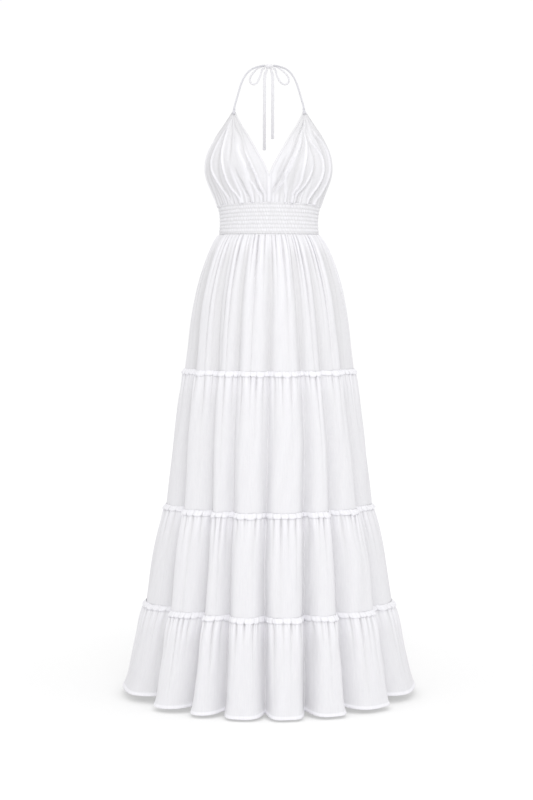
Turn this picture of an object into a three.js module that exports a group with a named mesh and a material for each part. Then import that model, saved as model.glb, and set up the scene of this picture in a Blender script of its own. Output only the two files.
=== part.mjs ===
// A halter maxi dress in white cotton. Two triangle cups are gathered at their points and into a
// smocked waistband, and the skirt below has four gathered tiers whose deep folds run to the hem.
// Straps from the points of the cups pass round the neck and are tied in a bow at the nape.
// It keeps the hollow shape it has when worn, and the back is bare above the waistband.
// Millimetres, Z up, front towards -Y. The origin is at the nape, where the tie rests.
import * as THREE from 'three';

// Cloth and sewing
const CLOTH = 1.6;
// How far to each side the cloth is read to find which way it faces, in degrees
const NORMAL_STEP = 0.4;
const SEAM_GAP = 0.3;
const NECKLINE_WIDTH = 5.2;
const BINDING_WIDTH = 4.4;
const EDGE_RAISE = 0.7;
const PLAIN_EDGE = 6.5;
const FULL_FOLD_EDGE = 15.6;
const EDGE_SHARE = 0.3;

// Levels, measured down from the nape
const APEX_Z = -113.5;
const BAND_TOP_SIDE_Z = -334.3;
const BAND_TOP_RISE = 5.4;
const BAND_BOTTOM_Z = -397;
const SEAM_Z = [-717.5, -1035, -1264];
const HEM_SIDE_Z = -1457;
const HEM_FRONT_DROP = 17;
const HEM_BACK_DROP = 7;
const HEM_GROOVE_RISE = 7;

// Skirt seams: each lower tier laps the one above, and its heading stands above the seam
const SEAM_LAP = 1;
const HEADING_HEIGHT = 13;
const HEADING_LEAN = 3.4;
const HEADING_WAVE = 2.6;
const HEADING_HOLD = 0.25;
const HEM_TURN = 6.5;
const HEM_RAISE = 0.8;

// Smocking
const SMOCK_ROWS = 8;
const SMOCK_PUFF = 1.9;
const SMOCK_PUCKER = 0.7;
const BAND_CLOTH = 1.8;
const BAND_COLUMNS = 24;
const BAND_INNER_EVERY = 4;

// Straps and tie
const STRAP_WIDTH = 4.4;
const STRAP_THICKNESS = 3.2;
const TIE_WIDTH = 7.4;
const TIE_THICKNESS = 2.2;
const LOOP_WIDTH = 4.6;
const CORD_SIDES = 8;
const STRAP_STEPS = 18;
const LOOP_STEPS = 20;
const TIE_STEPS = 12;
const KNOT_LENGTH = 18;
const KNOT_RADIUS = 5.8;
const KNOT_END_RADIUS = 4.8;
const KNOT_WAIST_RADIUS = 4.9;
const KNOT_RIDGE = 5.6;
const KNOT_WAIST = 1.8;
const KNOT_SIDES = 14;
const KNOT_CENTRE = new THREE.Vector3(0, 6.6, 1);

// The waistband: half width, half depth and how far its middle lies from the nape, down the dress
const BAND_RINGS = [
  { z: -329, halfWidth: 118.2, halfDepth: 87.5, middleY: -90 },
  { z: -349, halfWidth: 113.8, halfDepth: 85.5, middleY: -90 },
  { z: -377, halfWidth: 112.4, halfDepth: 84.5, middleY: -90 },
  { z: -397, halfWidth: 114.6, halfDepth: 86.5, middleY: -90 },
];

// The skirt's tiers, a row for each level
const TIER_RINGS = [
  [
    { z: -397, halfWidth: 115.8, halfDepth: 87.5, middleY: -90 },
    { z: -412, halfWidth: 127, halfDepth: 97, middleY: -90 },
    { z: -437, halfWidth: 140, halfDepth: 108, middleY: -90 },
    { z: -465, halfWidth: 151.5, halfDepth: 117, middleY: -89 },
    { z: -521, halfWidth: 169.5, halfDepth: 131, middleY: -88 },
    { z: -605, halfWidth: 186, halfDepth: 146, middleY: -87 },
    { z: -717.5, halfWidth: 200, halfDepth: 160, middleY: -86 },
  ],
  [
    { z: -717.5, halfWidth: 202.5, halfDepth: 162, middleY: -86 },
    { z: -746, halfWidth: 207.5, halfDepth: 168, middleY: -85 },
    { z: -859, halfWidth: 223.5, halfDepth: 186, middleY: -84 },
    { z: -1035, halfWidth: 243, halfDepth: 210, middleY: -83 },
  ],
  [
    { z: -1035, halfWidth: 246, halfDepth: 213, middleY: -83 },
    { z: -1060, halfWidth: 253, halfDepth: 221, middleY: -82 },
    { z: -1115, halfWidth: 267, halfDepth: 234, middleY: -82 },
    { z: -1264, halfWidth: 291, halfDepth: 262, middleY: -80 },
  ],
  [
    { z: -1264, halfWidth: 294.5, halfDepth: 265, middleY: -80 },
    { z: -1288, halfWidth: 303, halfDepth: 273, middleY: -80 },
    { z: -1350, halfWidth: 317, halfDepth: 287, middleY: -79 },
    { z: -1462, halfWidth: 341, halfDepth: 313, middleY: -78 },
  ],
];

// The levels of each tier's rows of points, between its seams
const TIER_LEVELS = [
  [-418, -452, -515, -600],
  [-860],
  [-1115],
  [-1325],
];

// How deep the long folds are, and how wide in degrees, down the skirt
const FOLD_SIZES = [
  { z: -397, depth: 1, width: 4.5 },
  { z: -480, depth: 7, width: 4.2 },
  { z: -717, depth: 18, width: 3.8 },
  { z: -1035, depth: 31, width: 3.3 },
  { z: -1264, depth: 43, width: 3 },
  { z: -1465, depth: 54, width: 2.8 },
];

// The long folds of the skirt: where each groove lies round the dress, in degrees from the centre
// front towards the wearer's left, at the middle of the three upper tiers and at the hem. Strength
// is its share of the full depth. Before and after say how gradually it opens on its two sides.
const FOLDS = [
  { upper: -79, second: -80, third: -80, hem: -81, strength: 0.35, before: 1, after: 1 },
  { upper: -66, second: -60, third: -57, hem: -54.5, strength: 1.38, before: 4, after: 0.8 },
  { upper: -40, second: -37, third: -33.5, hem: -34, strength: 0.98, before: 2.2, after: 0.8 },
  { upper: -22, second: -22, third: -20.5, hem: -19, strength: 0.9, before: 1.5, after: 0.8 },
  { upper: 0, second: -1.5, third: -3, hem: -1.8, strength: 0.9, before: 1.1, after: 0.8 },
  { upper: 23, second: 21, third: 18.5, hem: 15.6, strength: 1.15, before: 0.9, after: 1.15 },
  { upper: 38, second: 39, third: 36, hem: 33, strength: 0.95, before: 0.8, after: 1.9 },
  { upper: 61, second: 61, third: 63, hem: 57, strength: 1.1, before: 0.8, after: 3.4 },
  { upper: 79, second: 80, third: 78, hem: 80, strength: 0.4, before: 1, after: 1 },
  { upper: 100, second: 101, third: 102, hem: 103, strength: 0.8, before: 1.6, after: 1 },
  { upper: 117, second: 118, third: 119, hem: 120, strength: 1, before: 1, after: 1.8 },
  { upper: 134, second: 135, third: 135, hem: 136, strength: 0.85, before: 1.7, after: 0.9 },
  { upper: 151, second: 152, third: 153, hem: 153, strength: 1.05, before: 0.9, after: 1.4 },
  { upper: 168, second: 168, third: 170, hem: 169, strength: 0.95, before: 1.2, after: 0.9 },
  { upper: 187, second: 186, third: 186, hem: 187, strength: 1.1, before: 1, after: 1.5 },
  { upper: 204, second: 203, third: 202, hem: 204, strength: 0.9, before: 1.3, after: 0.9 },
  { upper: 222, second: 221, third: 220, hem: 219, strength: 1.05, before: 0.9, after: 1.8 },
  { upper: 241, second: 240, third: 238, hem: 238, strength: 1, before: 2, after: 1 },
  { upper: 260, second: 259, third: 258, hem: 257, strength: 0.8, before: 1, after: 1.5 },
];
const FOLD_LEVELS = [
  { z: -560, name: 'upper' },
  { z: -880, name: 'second' },
  { z: -1150, name: 'third' },
  { z: -1465, name: 'hem' },
];

// How far a groove's points reach, in its own spreads; the share of the room between two grooves
// that they fill; and the share next to a side seam
const GROOVE_REACH = 1.7;
const GROOVE_ROOM = 0.92;
const SIDE_ROOM = 0.8;
// Where the point half way down a groove's side lies, as a share of that reach
const GROOVE_SIDE = 0.42;

// Small gathers let into the top of the first tier, fading down it
const GATHERS_A_COLUMN = 3;
const GATHER_DEPTH = 4.2;
const GATHER_END_Z = -600;

// The cups, a row for each level: the bust's half width, half depth and middle, how far the
// neckline lies from the centre front, and how far round the outer edge turns, in degrees.
const CUP_RINGS = [
  { z: -113.5, halfWidth: 79.8, halfDepth: 12, middleY: -141, neckX: 71, edgeTurn: 90 },
  { z: -127, halfWidth: 89.4, halfDepth: 27, middleY: -134, neckX: 67, edgeTurn: 91 },
  { z: -148, halfWidth: 105, halfDepth: 52, middleY: -122, neckX: 59.5, edgeTurn: 93 },
  { z: -172, halfWidth: 122.6, halfDepth: 76, middleY: -109, neckX: 47, edgeTurn: 95 },
  { z: -196, halfWidth: 136.2, halfDepth: 94, middleY: -98, neckX: 33.5, edgeTurn: 97 },
  { z: -220, halfWidth: 145, halfDepth: 104, middleY: -91, neckX: 20, edgeTurn: 99 },
  { z: -240, halfWidth: 147.6, halfDepth: 107, middleY: -89, neckX: 8.5, edgeTurn: 100 },
  { z: -262, halfWidth: 146.2, halfDepth: 105, middleY: -88, neckX: 0.15, edgeTurn: 101 },
  { z: -294, halfWidth: 135, halfDepth: 98, middleY: -89, neckX: 0.15, edgeTurn: 101 },
  { z: -315, halfWidth: 126.5, halfDepth: 92, middleY: -90, neckX: 0.15, edgeTurn: 101 },
  { z: -334.3, halfWidth: 119.4, halfDepth: 88, middleY: -90, neckX: 0.15, edgeTurn: 101 },
];
const CUP_SAMPLES = 23;
const CUP_LINE_STEPS = 140;

// The fullness of each cup over the bust
const CUP_ROUND = { x: 78, z: -240, depth: 25, spreadX: 47, spreadZ: 54 };

// The folds of the cups: where each ridge lies across the cloth, from 0 at the neckline to 1 at
// the outer edge, at the waistband, half way up and at the point; its height, and its half width.
const CUP_FOLDS = {
  right: [
    { band: 0.06, middle: 0.2, point: 0.4, height: 4.4, halfWidth: 0.045 },
    { band: 0.22, middle: 0.4, point: 0.5, height: 3.6, halfWidth: 0.06 },
    { band: 0.38, middle: 0.56, point: 0.6, height: 2.2, halfWidth: 0.05 },
    { band: 0.58, middle: 0.72, point: 0.7, height: 3.8, halfWidth: 0.045 },
    { band: 0.76, middle: 0.86, point: 0.82, height: 3.6, halfWidth: 0.04 },
  ],
  left: [
    { band: 0.08, middle: 0.17, point: 0.3, height: 3.2, halfWidth: 0.045 },
    { band: 0.24, middle: 0.36, point: 0.45, height: 3.4, halfWidth: 0.06 },
    { band: 0.42, middle: 0.54, point: 0.58, height: 2.4, halfWidth: 0.05 },
    { band: 0.62, middle: 0.7, point: 0.7, height: 4, halfWidth: 0.045 },
    { band: 0.8, middle: 0.86, point: 0.83, height: 3.8, halfWidth: 0.04 },
  ],
};
const CUP_GATHERS = 11;
const CUP_GATHER_DEPTH = 2.4;
const CUP_GATHER_HEIGHT = 52;

// The routes of the halter strap and of the tie's bow and ends, chosen by hand
const STRAP_ROUTE = [
  [75.9, -145.8, -112.1], [75, -139, -104], [73, -125, -91], [70.8, -108, -77], [68.2, -90, -62.5],
  [64.8, -72, -47.5], [58.8, -55, -32.5], [50.4, -38, -18.5], [40, -24, -8.5], [27, -10, -2],
  [16, 2.6, 2], [9.9, 4.1, 2.6],
];
const LOOP_ROUTES = {
  left: [
    [-9.9, 9.2, 2.4], [-17, 10.8, 1.2], [-22.8, 11.8, -1.3], [-28.4, 12.6, -4.6], [-35.4, 13.2, -11],
    [-41.3, 13.5, -19], [-44.2, 13.3, -24.6], [-45.4, 13, -30.2], [-42.8, 12.4, -37.6],
    [-37, 12, -41], [-30, 12, -38.6], [-25.2, 12, -31.6], [-22.3, 12, -24.7], [-19.6, 12, -18],
    [-15, 10.6, -5.4], [-9.9, 9.4, -3.4],
  ],
  right: [
    [9.9, 9.2, 2.4], [17, 10.8, 1.2], [21.8, 11.8, -1.3], [26.8, 12.6, -4.6], [33.4, 13.2, -9.5],
    [39.7, 13.5, -15], [43.8, 13.3, -20.3], [46.6, 13, -26], [46.2, 12.4, -36.2], [39.7, 12, -41],
    [32.5, 12, -39.8], [25.2, 12, -33], [21.4, 12, -26], [18.2, 12, -19], [14.6, 10.6, -6],
    [9.9, 9.4, -3.6],
  ],
};
const TIE_ROUTES = {
  left: [
    [-4.8, 7, -5.15], [-5.3, 7.5, -8], [-6.9, 8.2, -11.8], [-9.2, 9, -17], [-10.2, 9.5, -25],
    [-10.6, 9.8, -36], [-10.6, 9.9, -52], [-10.6, 10, -70], [-10.6, 10, -90], [-10.7, 10, -110],
    [-10.8, 10, -130], [-10.9, 10, -150], [-10.9, 10, -166], [-10.9, 10, -181], [-10.9, 10, -196],
  ],
  right: [
    [5, 7, -5.15], [5.3, 7.5, -8], [6.4, 8.2, -11.8], [7.9, 9, -17], [8.6, 9.5, -25],
    [8.8, 9.8, -36], [8.8, 9.9, -50], [8.7, 10, -66], [8.7, 10, -83], [8.6, 10, -100],
    [8.5, 10, -115], [8.5, 10, -130], [8.5, 10, -143], [8.5, 10, -156], [8.5, 10, -169.5],
  ],
};

const WHITE_COTTON = { color: 0xf6f5f9, roughness: 0.92, metalness: 0 };

const lerp = THREE.MathUtils.lerp;
const clamp = THREE.MathUtils.clamp;
const rad = THREE.MathUtils.degToRad;

// Reads one column of a table whose rows go down the dress, by straight lines between its rows.
function column(table, name, z) {
  if (z >= table[0].z) return table[0][name];
  for (let i = 1; i < table.length; i += 1) {
    const above = table[i - 1];
    const below = table[i];
    if (z >= below.z) return lerp(below[name], above[name], (z - below.z) / (above.z - below.z));
  }
  return table[table.length - 1][name];
}

// The point at an angle round a ring, in degrees from the centre front towards +X.
function ringPoint(table, turn, z) {
  const angle = rad(turn);
  return new THREE.Vector3(
    column(table, 'halfWidth', z) * Math.sin(angle),
    column(table, 'middleY', z) - column(table, 'halfDepth', z) * Math.cos(angle),
    z,
  );
}

// The level direction that leaves the cloth at right angles to a line drawn along it.
function levelNormal(before, after) {
  return new THREE.Vector3(after.y - before.y, before.x - after.x, 0).normalize();
}

// Joins two rows that may have different numbers of points, in order of their places.
function joinRows(upper, lower, upperPlaces, lowerPlaces, addTriangle) {
  let i = 0;
  let j = 0;
  while (i < upper.length - 1 || j < lower.length - 1) {
    const nextUpper = i < upper.length - 1 ? upperPlaces[i + 1] : Infinity;
    const nextLower = j < lower.length - 1 ? lowerPlaces[j + 1] : Infinity;
    if (nextLower <= nextUpper) {
      addTriangle(upper[i], lower[j], lower[j + 1]);
      j += 1;
    } else {
      addTriangle(upper[i], lower[j], upper[i + 1]);
      i += 1;
    }
  }
}

// A closed wall of cloth from its rows, top to bottom. Each row has its outer points, its inner
// points and their places along it; seen from outside, the places go from left to right. A row
// with no inner points leaves the inner side plain there.
function wallGeometry(rows) {
  const positions = [];
  const triangles = [];
  const addPoint = (point) => positions.push(point.x, point.y, point.z) / 3 - 1;
  const addTriangle = (a, b, c) => triangles.push(a, b, c);
  const addReversed = (a, b, c) => triangles.push(a, c, b);
  const addSide = (side) => rows.filter((row) => row[side]).map((row) => ({
    ids: row[side].map(addPoint),
    places: row.places,
    depth: -row[side][0].z,
  }));
  const joinSide = (lines, emit) => {
    for (let k = 0; k < lines.length - 1; k += 1) {
      joinRows(lines[k].ids, lines[k + 1].ids, lines[k].places, lines[k + 1].places, emit);
    }
  };
  const outer = addSide('outer');
  const inner = addSide('inner');
  joinSide(outer, addTriangle);
  joinSide(inner, addReversed);

  const joinLines = (first, second, emit = addTriangle) => {
    joinRows(first.ids, second.ids, first.places, second.places, emit);
  };
  joinLines(inner[0], outer[0]);
  joinLines(outer[outer.length - 1], inner[inner.length - 1]);

  const edge = (lines, at) => ({
    ids: lines.map((line) => line.ids.at(at)),
    places: lines.map((line) => line.depth),
  });
  joinLines(edge(outer, 0), edge(inner, 0));
  joinLines(edge(outer, -1), edge(inner, -1), addReversed);

  const geometry = new THREE.BufferGeometry();
  geometry.setAttribute('position', new THREE.Float32BufferAttribute(positions, 3));
  geometry.setIndex(triangles);
  geometry.computeVertexNormals();
  return geometry;
}

// One row of a wall: its outer points come from a function of the place, and the inner points
// lie one layer of cloth inside them.
function clothRow(pointAt, places) {
  const outer = places.map((place) => pointAt(place));
  const inner = places.map((place, i) => {
    const normal = levelNormal(pointAt(place - NORMAL_STEP), pointAt(place + NORMAL_STEP));
    return outer[i].clone().addScaledVector(normal, -CLOTH);
  });
  return { outer, inner, places };
}

function clothMesh(name, geometry) {
  const mesh = new THREE.Mesh(geometry, new THREE.MeshStandardMaterial(WHITE_COTTON));
  mesh.name = name;
  return mesh;
}

// Where a fold's groove lies at a level, in degrees.
function foldTurn(fold, z) {
  const levels = FOLD_LEVELS;
  if (z >= levels[0].z) return fold[levels[0].name];
  for (let i = 1; i < levels.length; i += 1) {
    if (z >= levels[i].z) {
      const share = (levels[i - 1].z - z) / (levels[i - 1].z - levels[i].z);
      return lerp(fold[levels[i - 1].name], fold[levels[i].name], share);
    }
  }
  return fold[levels[levels.length - 1].name];
}

// How much of a groove there is at an angle, 1 at the bottom of a full groove.
function grooveShare(turn, z) {
  const width = column(FOLD_SIZES, 'width', z);
  let share = 0;
  for (const fold of FOLDS) {
    const wrapped = ((turn - foldTurn(fold, z) + 540) % 360) - 180;
    const spread = width * (wrapped < 0 ? fold.before : fold.after);
    share += fold.strength * Math.exp(-((wrapped / spread) ** 2));
  }
  return share;
}

// The outer surface of a tier: its ring, with the long folds drawn in.
function skirtPoint(tier, turn, z) {
  const table = TIER_RINGS[tier];
  const point = ringPoint(table, turn, z);
  const normal = levelNormal(
    ringPoint(table, turn - NORMAL_STEP, z),
    ringPoint(table, turn + NORMAL_STEP, z),
  );
  return point.addScaledVector(normal, -column(FOLD_SIZES, 'depth', z) * grooveShare(turn, z));
}

// The grooves of one half of the skirt at a level, with how far each side of them spreads.
function halfGrooves(isFront, z) {
  const start = isFront ? -90 : 90;
  const width = column(FOLD_SIZES, 'width', z);
  return FOLDS.map((fold) => ({
    turn: foldTurn(fold, z),
    before: width * fold.before,
    after: width * fold.after,
  })).filter((groove) => groove.turn > start && groove.turn < start + 180);
}

// The places of one half's points at a level: five in each groove, and one between the sides of
// neighbouring grooves.
function foldPlaces(isFront, z) {
  const start = isFront ? -90 : 90;
  const end = start + 180;
  const grooves = halfGrooves(isFront, z);
  const last = grooves.length - 1;
  const places = [start];
  const reach = (spread, neighbour, room) => {
    const share = neighbour === undefined ? SIDE_ROOM : (GROOVE_ROOM * spread) / (spread + neighbour);
    return Math.min(spread * GROOVE_REACH, room * share);
  };
  grooves.forEach((groove, i) => {
    const room = groove.turn - (i === 0 ? start : grooves[i - 1].turn);
    const roomAfter = (i === last ? end : grooves[i + 1].turn) - groove.turn;
    const low = reach(groove.before, grooves[i - 1]?.after, room);
    const high = reach(groove.after, grooves[i + 1]?.before, roomAfter);
    if (i > 0) places.push((places[places.length - 1] + groove.turn - low) / 2);
    places.push(groove.turn - low, groove.turn - low * GROOVE_SIDE, groove.turn);
    places.push(groove.turn + high * GROOVE_SIDE, groove.turn + high);
  });
  places.push(end);
  return places;
}

// A row at the top of the first tier, where every column takes in a few small gathers.
function gatheredRow(isFront, z) {
  const start = isFront ? -90 : 90;
  const edges = [start, ...halfGrooves(isFront, z).map((groove) => groove.turn), start + 180];
  const fade = clamp((z - GATHER_END_Z) / (BAND_BOTTOM_Z - GATHER_END_Z), 0, 1);
  const steps = GATHERS_A_COLUMN * 2;
  const places = [];
  for (let i = 0; i < edges.length - 1; i += 1) {
    const isHalfColumn = i === 0 || i === edges.length - 2;
    const count = isHalfColumn ? Math.ceil(steps / 2) : steps;
    for (let k = 0; k < count; k += 1) places.push(lerp(edges[i], edges[i + 1], k / count));
  }
  places.push(start + 180);
  const pointAt = (place) => {
    let i = edges.findIndex((edge) => edge > place) - 1;
    if (i < 0) i = place < start + 90 ? 0 : edges.length - 2;
    const share = (place - edges[i]) / (edges[i + 1] - edges[i]);
    const waves = (i === 0 || i === edges.length - 2) ? GATHERS_A_COLUMN / 2 : GATHERS_A_COLUMN;
    const wave = 0.5 + 0.5 * Math.cos(2 * Math.PI * waves * share);
    const point = skirtPoint(0, place, z);
    const normal = levelNormal(
      skirtPoint(0, place - NORMAL_STEP, z),
      skirtPoint(0, place + NORMAL_STEP, z),
    );
    return point.addScaledVector(normal, -GATHER_DEPTH * fade * wave);
  };
  return clothRow(pointAt, places);
}

// The two rows of a heading, standing on the outer points of the tier above. The upper row leans
// out and waves; the lower row is held to the seam.
function headingRows(above, seamZ) {
  const upper = above[above.length - 2];
  const lower = above[above.length - 1];
  const count = upper.outer.length;
  const onTierAbove = (z) => upper.outer.map((point, i) => {
    const share = (point.z - z) / (point.z - lower.outer[i].z);
    return point.clone().lerp(lower.outer[i], share);
  });
  const offsetRow = (z, lean) => {
    const points = onTierAbove(z);
    const normals = points.map((point, i) => (
      levelNormal(points[Math.max(i - 1, 0)], points[Math.min(i + 1, count - 1)])
    ));
    const distance = (i) => SEAM_GAP + lean(i);
    const inner = points.map((point, i) => point.clone().addScaledVector(normals[i], distance(i)));
    const outer = inner.map((point, i) => point.clone().addScaledVector(normals[i], CLOTH));
    return { outer, inner, places: lower.places };
  };
  const leanAt = (i) => {
    const open = 1 - Math.min(grooveShare(lower.places[i], seamZ), 1);
    return open * (HEADING_LEAN + (i % 3 === 0 ? HEADING_WAVE : 0));
  };
  const leaning = offsetRow(seamZ + HEADING_HEIGHT, (i) => HEADING_HOLD + leanAt(i));
  const held = offsetRow(seamZ, () => HEADING_HOLD);
  return [leaning, held];
}

// The level of the hem at an angle: lower at the front and back, lifted a little in each groove.
function hemLevel(turn) {
  const facing = Math.cos(rad(turn));
  const drop = facing > 0 ? HEM_FRONT_DROP * facing : -HEM_BACK_DROP * facing;
  return HEM_SIDE_Z - drop + HEM_GROOVE_RISE * Math.min(grooveShare(turn, HEM_SIDE_Z), 1);
}

// The last three rows of the lowest tier: the cloth above the turned hem, and the hem itself.
function hemRows(isFront) {
  const places = foldPlaces(isFront, HEM_SIDE_Z);
  const rowAt = (rise, raise) => {
    const pointAt = (place) => {
      const point = skirtPoint(3, place, HEM_SIDE_Z);
      point.z = hemLevel(place) + rise;
      return point;
    };
    const row = clothRow(pointAt, places);
    row.outer.forEach((point, i) => {
      const away = point.clone().sub(row.inner[i]).setZ(0).normalize();
      point.addScaledVector(away, raise);
    });
    return row;
  };
  return [rowAt(HEM_TURN + 1, 0), rowAt(HEM_TURN, HEM_RAISE), rowAt(0, HEM_RAISE)];
}

// Every row of one half of the skirt, tier by tier.
function skirtRows(isFront) {
  const tiers = [];
  TIER_LEVELS.forEach((levels, tier) => {
    const rows = [];
    if (tier === 0) {
      rows.push(gatheredRow(isFront, BAND_BOTTOM_Z - SEAM_GAP));
    } else {
      rows.push(...headingRows(tiers[tier - 1], SEAM_Z[tier - 1]));
    }
    levels.forEach((z, k) => {
      if (tier === 0 && k < 2) {
        rows.push(gatheredRow(isFront, z));
        return;
      }
      rows.push(clothRow((place) => skirtPoint(tier, place, z), foldPlaces(isFront, z)));
    });
    if (tier < 3) {
      for (const z of [SEAM_Z[tier] + HEADING_HEIGHT, SEAM_Z[tier] - SEAM_LAP]) {
        rows.push(clothRow((place) => skirtPoint(tier, place, z), foldPlaces(isFront, z)));
      }
    } else {
      rows.push(...hemRows(isFront));
    }
    tiers.push(rows);
  });
  return tiers;
}

// Leaves the gap of a side seam: half of it is taken off each end of every row.
function openSideSeams(rows) {
  const half = SEAM_GAP / 2;
  rows.forEach((row) => {
    [row.outer, row.inner].filter(Boolean).forEach((points) => {
      const towards = Math.sign(points[Math.floor(points.length / 2)].y - points[0].y);
      points[0].y += towards * half;
      points[points.length - 1].y += towards * half;
    });
  });
  return rows;
}

function buildSkirt() {
  const meshes = [];
  for (const [side, isFront] of [['front', true], ['back', false]]) {
    skirtRows(isFront).forEach((rows, tier) => {
      meshes.push(clothMesh(`tier_${tier + 1}_${side}`, wallGeometry(openSideSeams(rows))));
    });
  }
  return meshes;
}

// The level of the waistband's top edge, which rises a little to the centre.
function bandTop(turn) {
  return BAND_TOP_SIDE_Z + BAND_TOP_RISE * Math.abs(Math.cos(rad(turn)));
}

// One half of the waistband. Its outer points puff out between the rows of stitching and are
// puckered along them, over a plain inner side.
function bandHalf(isFront) {
  const start = isFront ? -90 : 90;
  const places = Array.from(
    { length: BAND_COLUMNS + 1 },
    (unused, i) => start + (180 * i) / BAND_COLUMNS,
  );
  const bandPoint = (place, down, raise) => {
    const z = lerp(bandTop(place), BAND_BOTTOM_Z, down);
    const before = ringPoint(BAND_RINGS, place - NORMAL_STEP, z);
    const after = ringPoint(BAND_RINGS, place + NORMAL_STEP, z);
    return ringPoint(BAND_RINGS, place, z).addScaledVector(levelNormal(before, after), raise);
  };
  const levels = 2 * SMOCK_ROWS + 1;
  const rows = [];
  for (let k = 0; k < levels; k += 1) {
    const down = k / (levels - 1);
    const isPuff = k % 2 === 0;
    const outer = places.map((place, i) => {
      const pucker = ((i + (k >> 1)) % 2) * SMOCK_PUCKER;
      return bandPoint(place, down, isPuff ? SMOCK_PUFF - pucker : 0);
    });
    const inner = places.map((place) => bandPoint(place, down, -BAND_CLOTH));
    rows.push({ outer, inner: k % BAND_INNER_EVERY === 0 ? inner : undefined, places });
  }
  return wallGeometry(openSideSeams(rows));
}

function buildWaistband() {
  return [clothMesh('waistband_front', bandHalf(true)), clothMesh('waistband_back', bandHalf(false))];
}

// The plain surface of a cup, without folds, at an angle round the bust.
function cupPoint(turn, z) {
  const point = ringPoint(CUP_RINGS, turn, z);
  const across = (point.x - CUP_ROUND.x) / CUP_ROUND.spreadX;
  const down = (z - CUP_ROUND.z) / CUP_ROUND.spreadZ;
  const facing = Math.max(Math.cos(rad(turn)), 0);
  point.y -= CUP_ROUND.depth * facing * Math.exp(-(across ** 2) - down ** 2);
  return point;
}

// Where a ridge lies across a cup at a height between the waistband, 0, and the point, 1.
function ridgeShare(fold, height) {
  if (height < 0.5) return lerp(fold.band, fold.middle, height * 2);
  return lerp(fold.middle, fold.point, height * 2 - 1);
}

// How far the folds lift the cloth of a cup, at a share of the way across it. The cloth lies
// plain at its two edges.
function cupLift(side, share, z, length) {
  const height = clamp((z - BAND_TOP_SIDE_Z) / (APEX_Z - BAND_TOP_SIDE_Z), 0, 1);
  const towardsPoint = 1 - height ** 3;
  const fromEdge = Math.min(share, 1 - share) * length;
  const awayFromEdges = THREE.MathUtils.smoothstep(fromEdge, PLAIN_EDGE, FULL_FOLD_EDGE);
  let lift = 0;
  for (const fold of CUP_FOLDS[side]) {
    const distance = (share - ridgeShare(fold, height)) / fold.halfWidth;
    lift += fold.height * Math.exp(-(distance ** 2)) * towardsPoint;
  }
  const gather = clamp(1 - (z - BAND_TOP_SIDE_Z) / CUP_GATHER_HEIGHT, 0, 1);
  lift -= CUP_GATHER_DEPTH * gather * (0.5 + 0.5 * Math.cos(2 * Math.PI * CUP_GATHERS * share));
  return lift * awayFromEdges;
}

// A level line along a cup from the neckline to the outer edge, as a list of points with their
// distances along the cloth.
function cupLine(side, z) {
  const steps = CUP_LINE_STEPS;
  const halfWidth = column(CUP_RINGS, 'halfWidth', z);
  const first = THREE.MathUtils.radToDeg(Math.asin(column(CUP_RINGS, 'neckX', z) / halfWidth));
  const last = column(CUP_RINGS, 'edgeTurn', z);
  const plain = [];
  for (let i = 0; i <= steps; i += 1) plain.push(cupPoint(lerp(first, last, i / steps), z));
  const distances = [0];
  for (let i = 1; i <= steps; i += 1) {
    distances.push(distances[i - 1] + plain[i].distanceTo(plain[i - 1]));
  }
  const length = distances[steps];
  const points = plain.map((point, i) => {
    const normal = levelNormal(plain[Math.max(i - 1, 0)], plain[Math.min(i + 1, steps)]);
    const lift = cupLift(side, distances[i] / length, z, length);
    return point.clone().addScaledVector(normal, lift);
  });
  const normals = points.map((point, i) => (
    levelNormal(points[Math.max(i - 2, 0)], points[Math.min(i + 2, steps)])
  ));
  return { points, normals, distances, length };
}

// The point of such a line at a distance along it, and the direction away from the wearer there.
function alongLine(line, distance) {
  const last = line.points.length - 1;
  let i = 1;
  while (i < last && line.distances[i] < distance) i += 1;
  const share = (distance - line.distances[i - 1]) / (line.distances[i] - line.distances[i - 1]);
  return {
    point: line.points[i - 1].clone().lerp(line.points[i], share),
    normal: line.normals[i - 1].clone().lerp(line.normals[i], share).normalize(),
  };
}

// The levels of a cup's rows, from the point down to the waistband.
function cupLevels() {
  const upper = CUP_RINGS.slice(0, -1).map((ring) => ring.z);
  return [...upper, BAND_TOP_SIDE_Z];
}

// A strip of a cup between two distances from the neckline, given for each level as functions of
// the length of cloth there. Raise moves both faces of the strip away from the cloth.
function cupStrip(side, from, to, samples, raise) {
  const mirror = side === 'right' ? 1 : -1;
  const rows = cupLevels().map((z) => {
    const line = cupLine(side, z);
    const start = from(line.length);
    const end = to(line.length);
    const outer = [];
    const inner = [];
    const places = [];
    for (let i = 0; i <= samples; i += 1) {
      const { point, normal } = alongLine(line, lerp(start, end, i / samples));
      if (z === BAND_TOP_SIDE_Z) {
        const facing = (point.y - column(CUP_RINGS, 'middleY', z)) / column(CUP_RINGS, 'halfDepth', z);
        point.z = BAND_TOP_SIDE_Z + BAND_TOP_RISE * Math.min(Math.abs(facing), 1) + SEAM_GAP;
      }
      const out = point.clone().addScaledVector(normal, raise);
      const back = point.clone().addScaledVector(normal, -CLOTH - raise / 2);
      out.x *= mirror;
      back.x *= mirror;
      outer.push(out);
      inner.push(back);
      places.push(i);
    }
    if (mirror < 0) {
      outer.reverse();
      inner.reverse();
    }
    return { outer, inner, places };
  });
  return wallGeometry(rows);
}

// The narrow edges take no more than their share of the cloth near the point of the cup.
const necklineWidth = (length) => Math.min(NECKLINE_WIDTH, length * EDGE_SHARE);
const bindingWidth = (length) => Math.min(BINDING_WIDTH, length * EDGE_SHARE);

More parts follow.
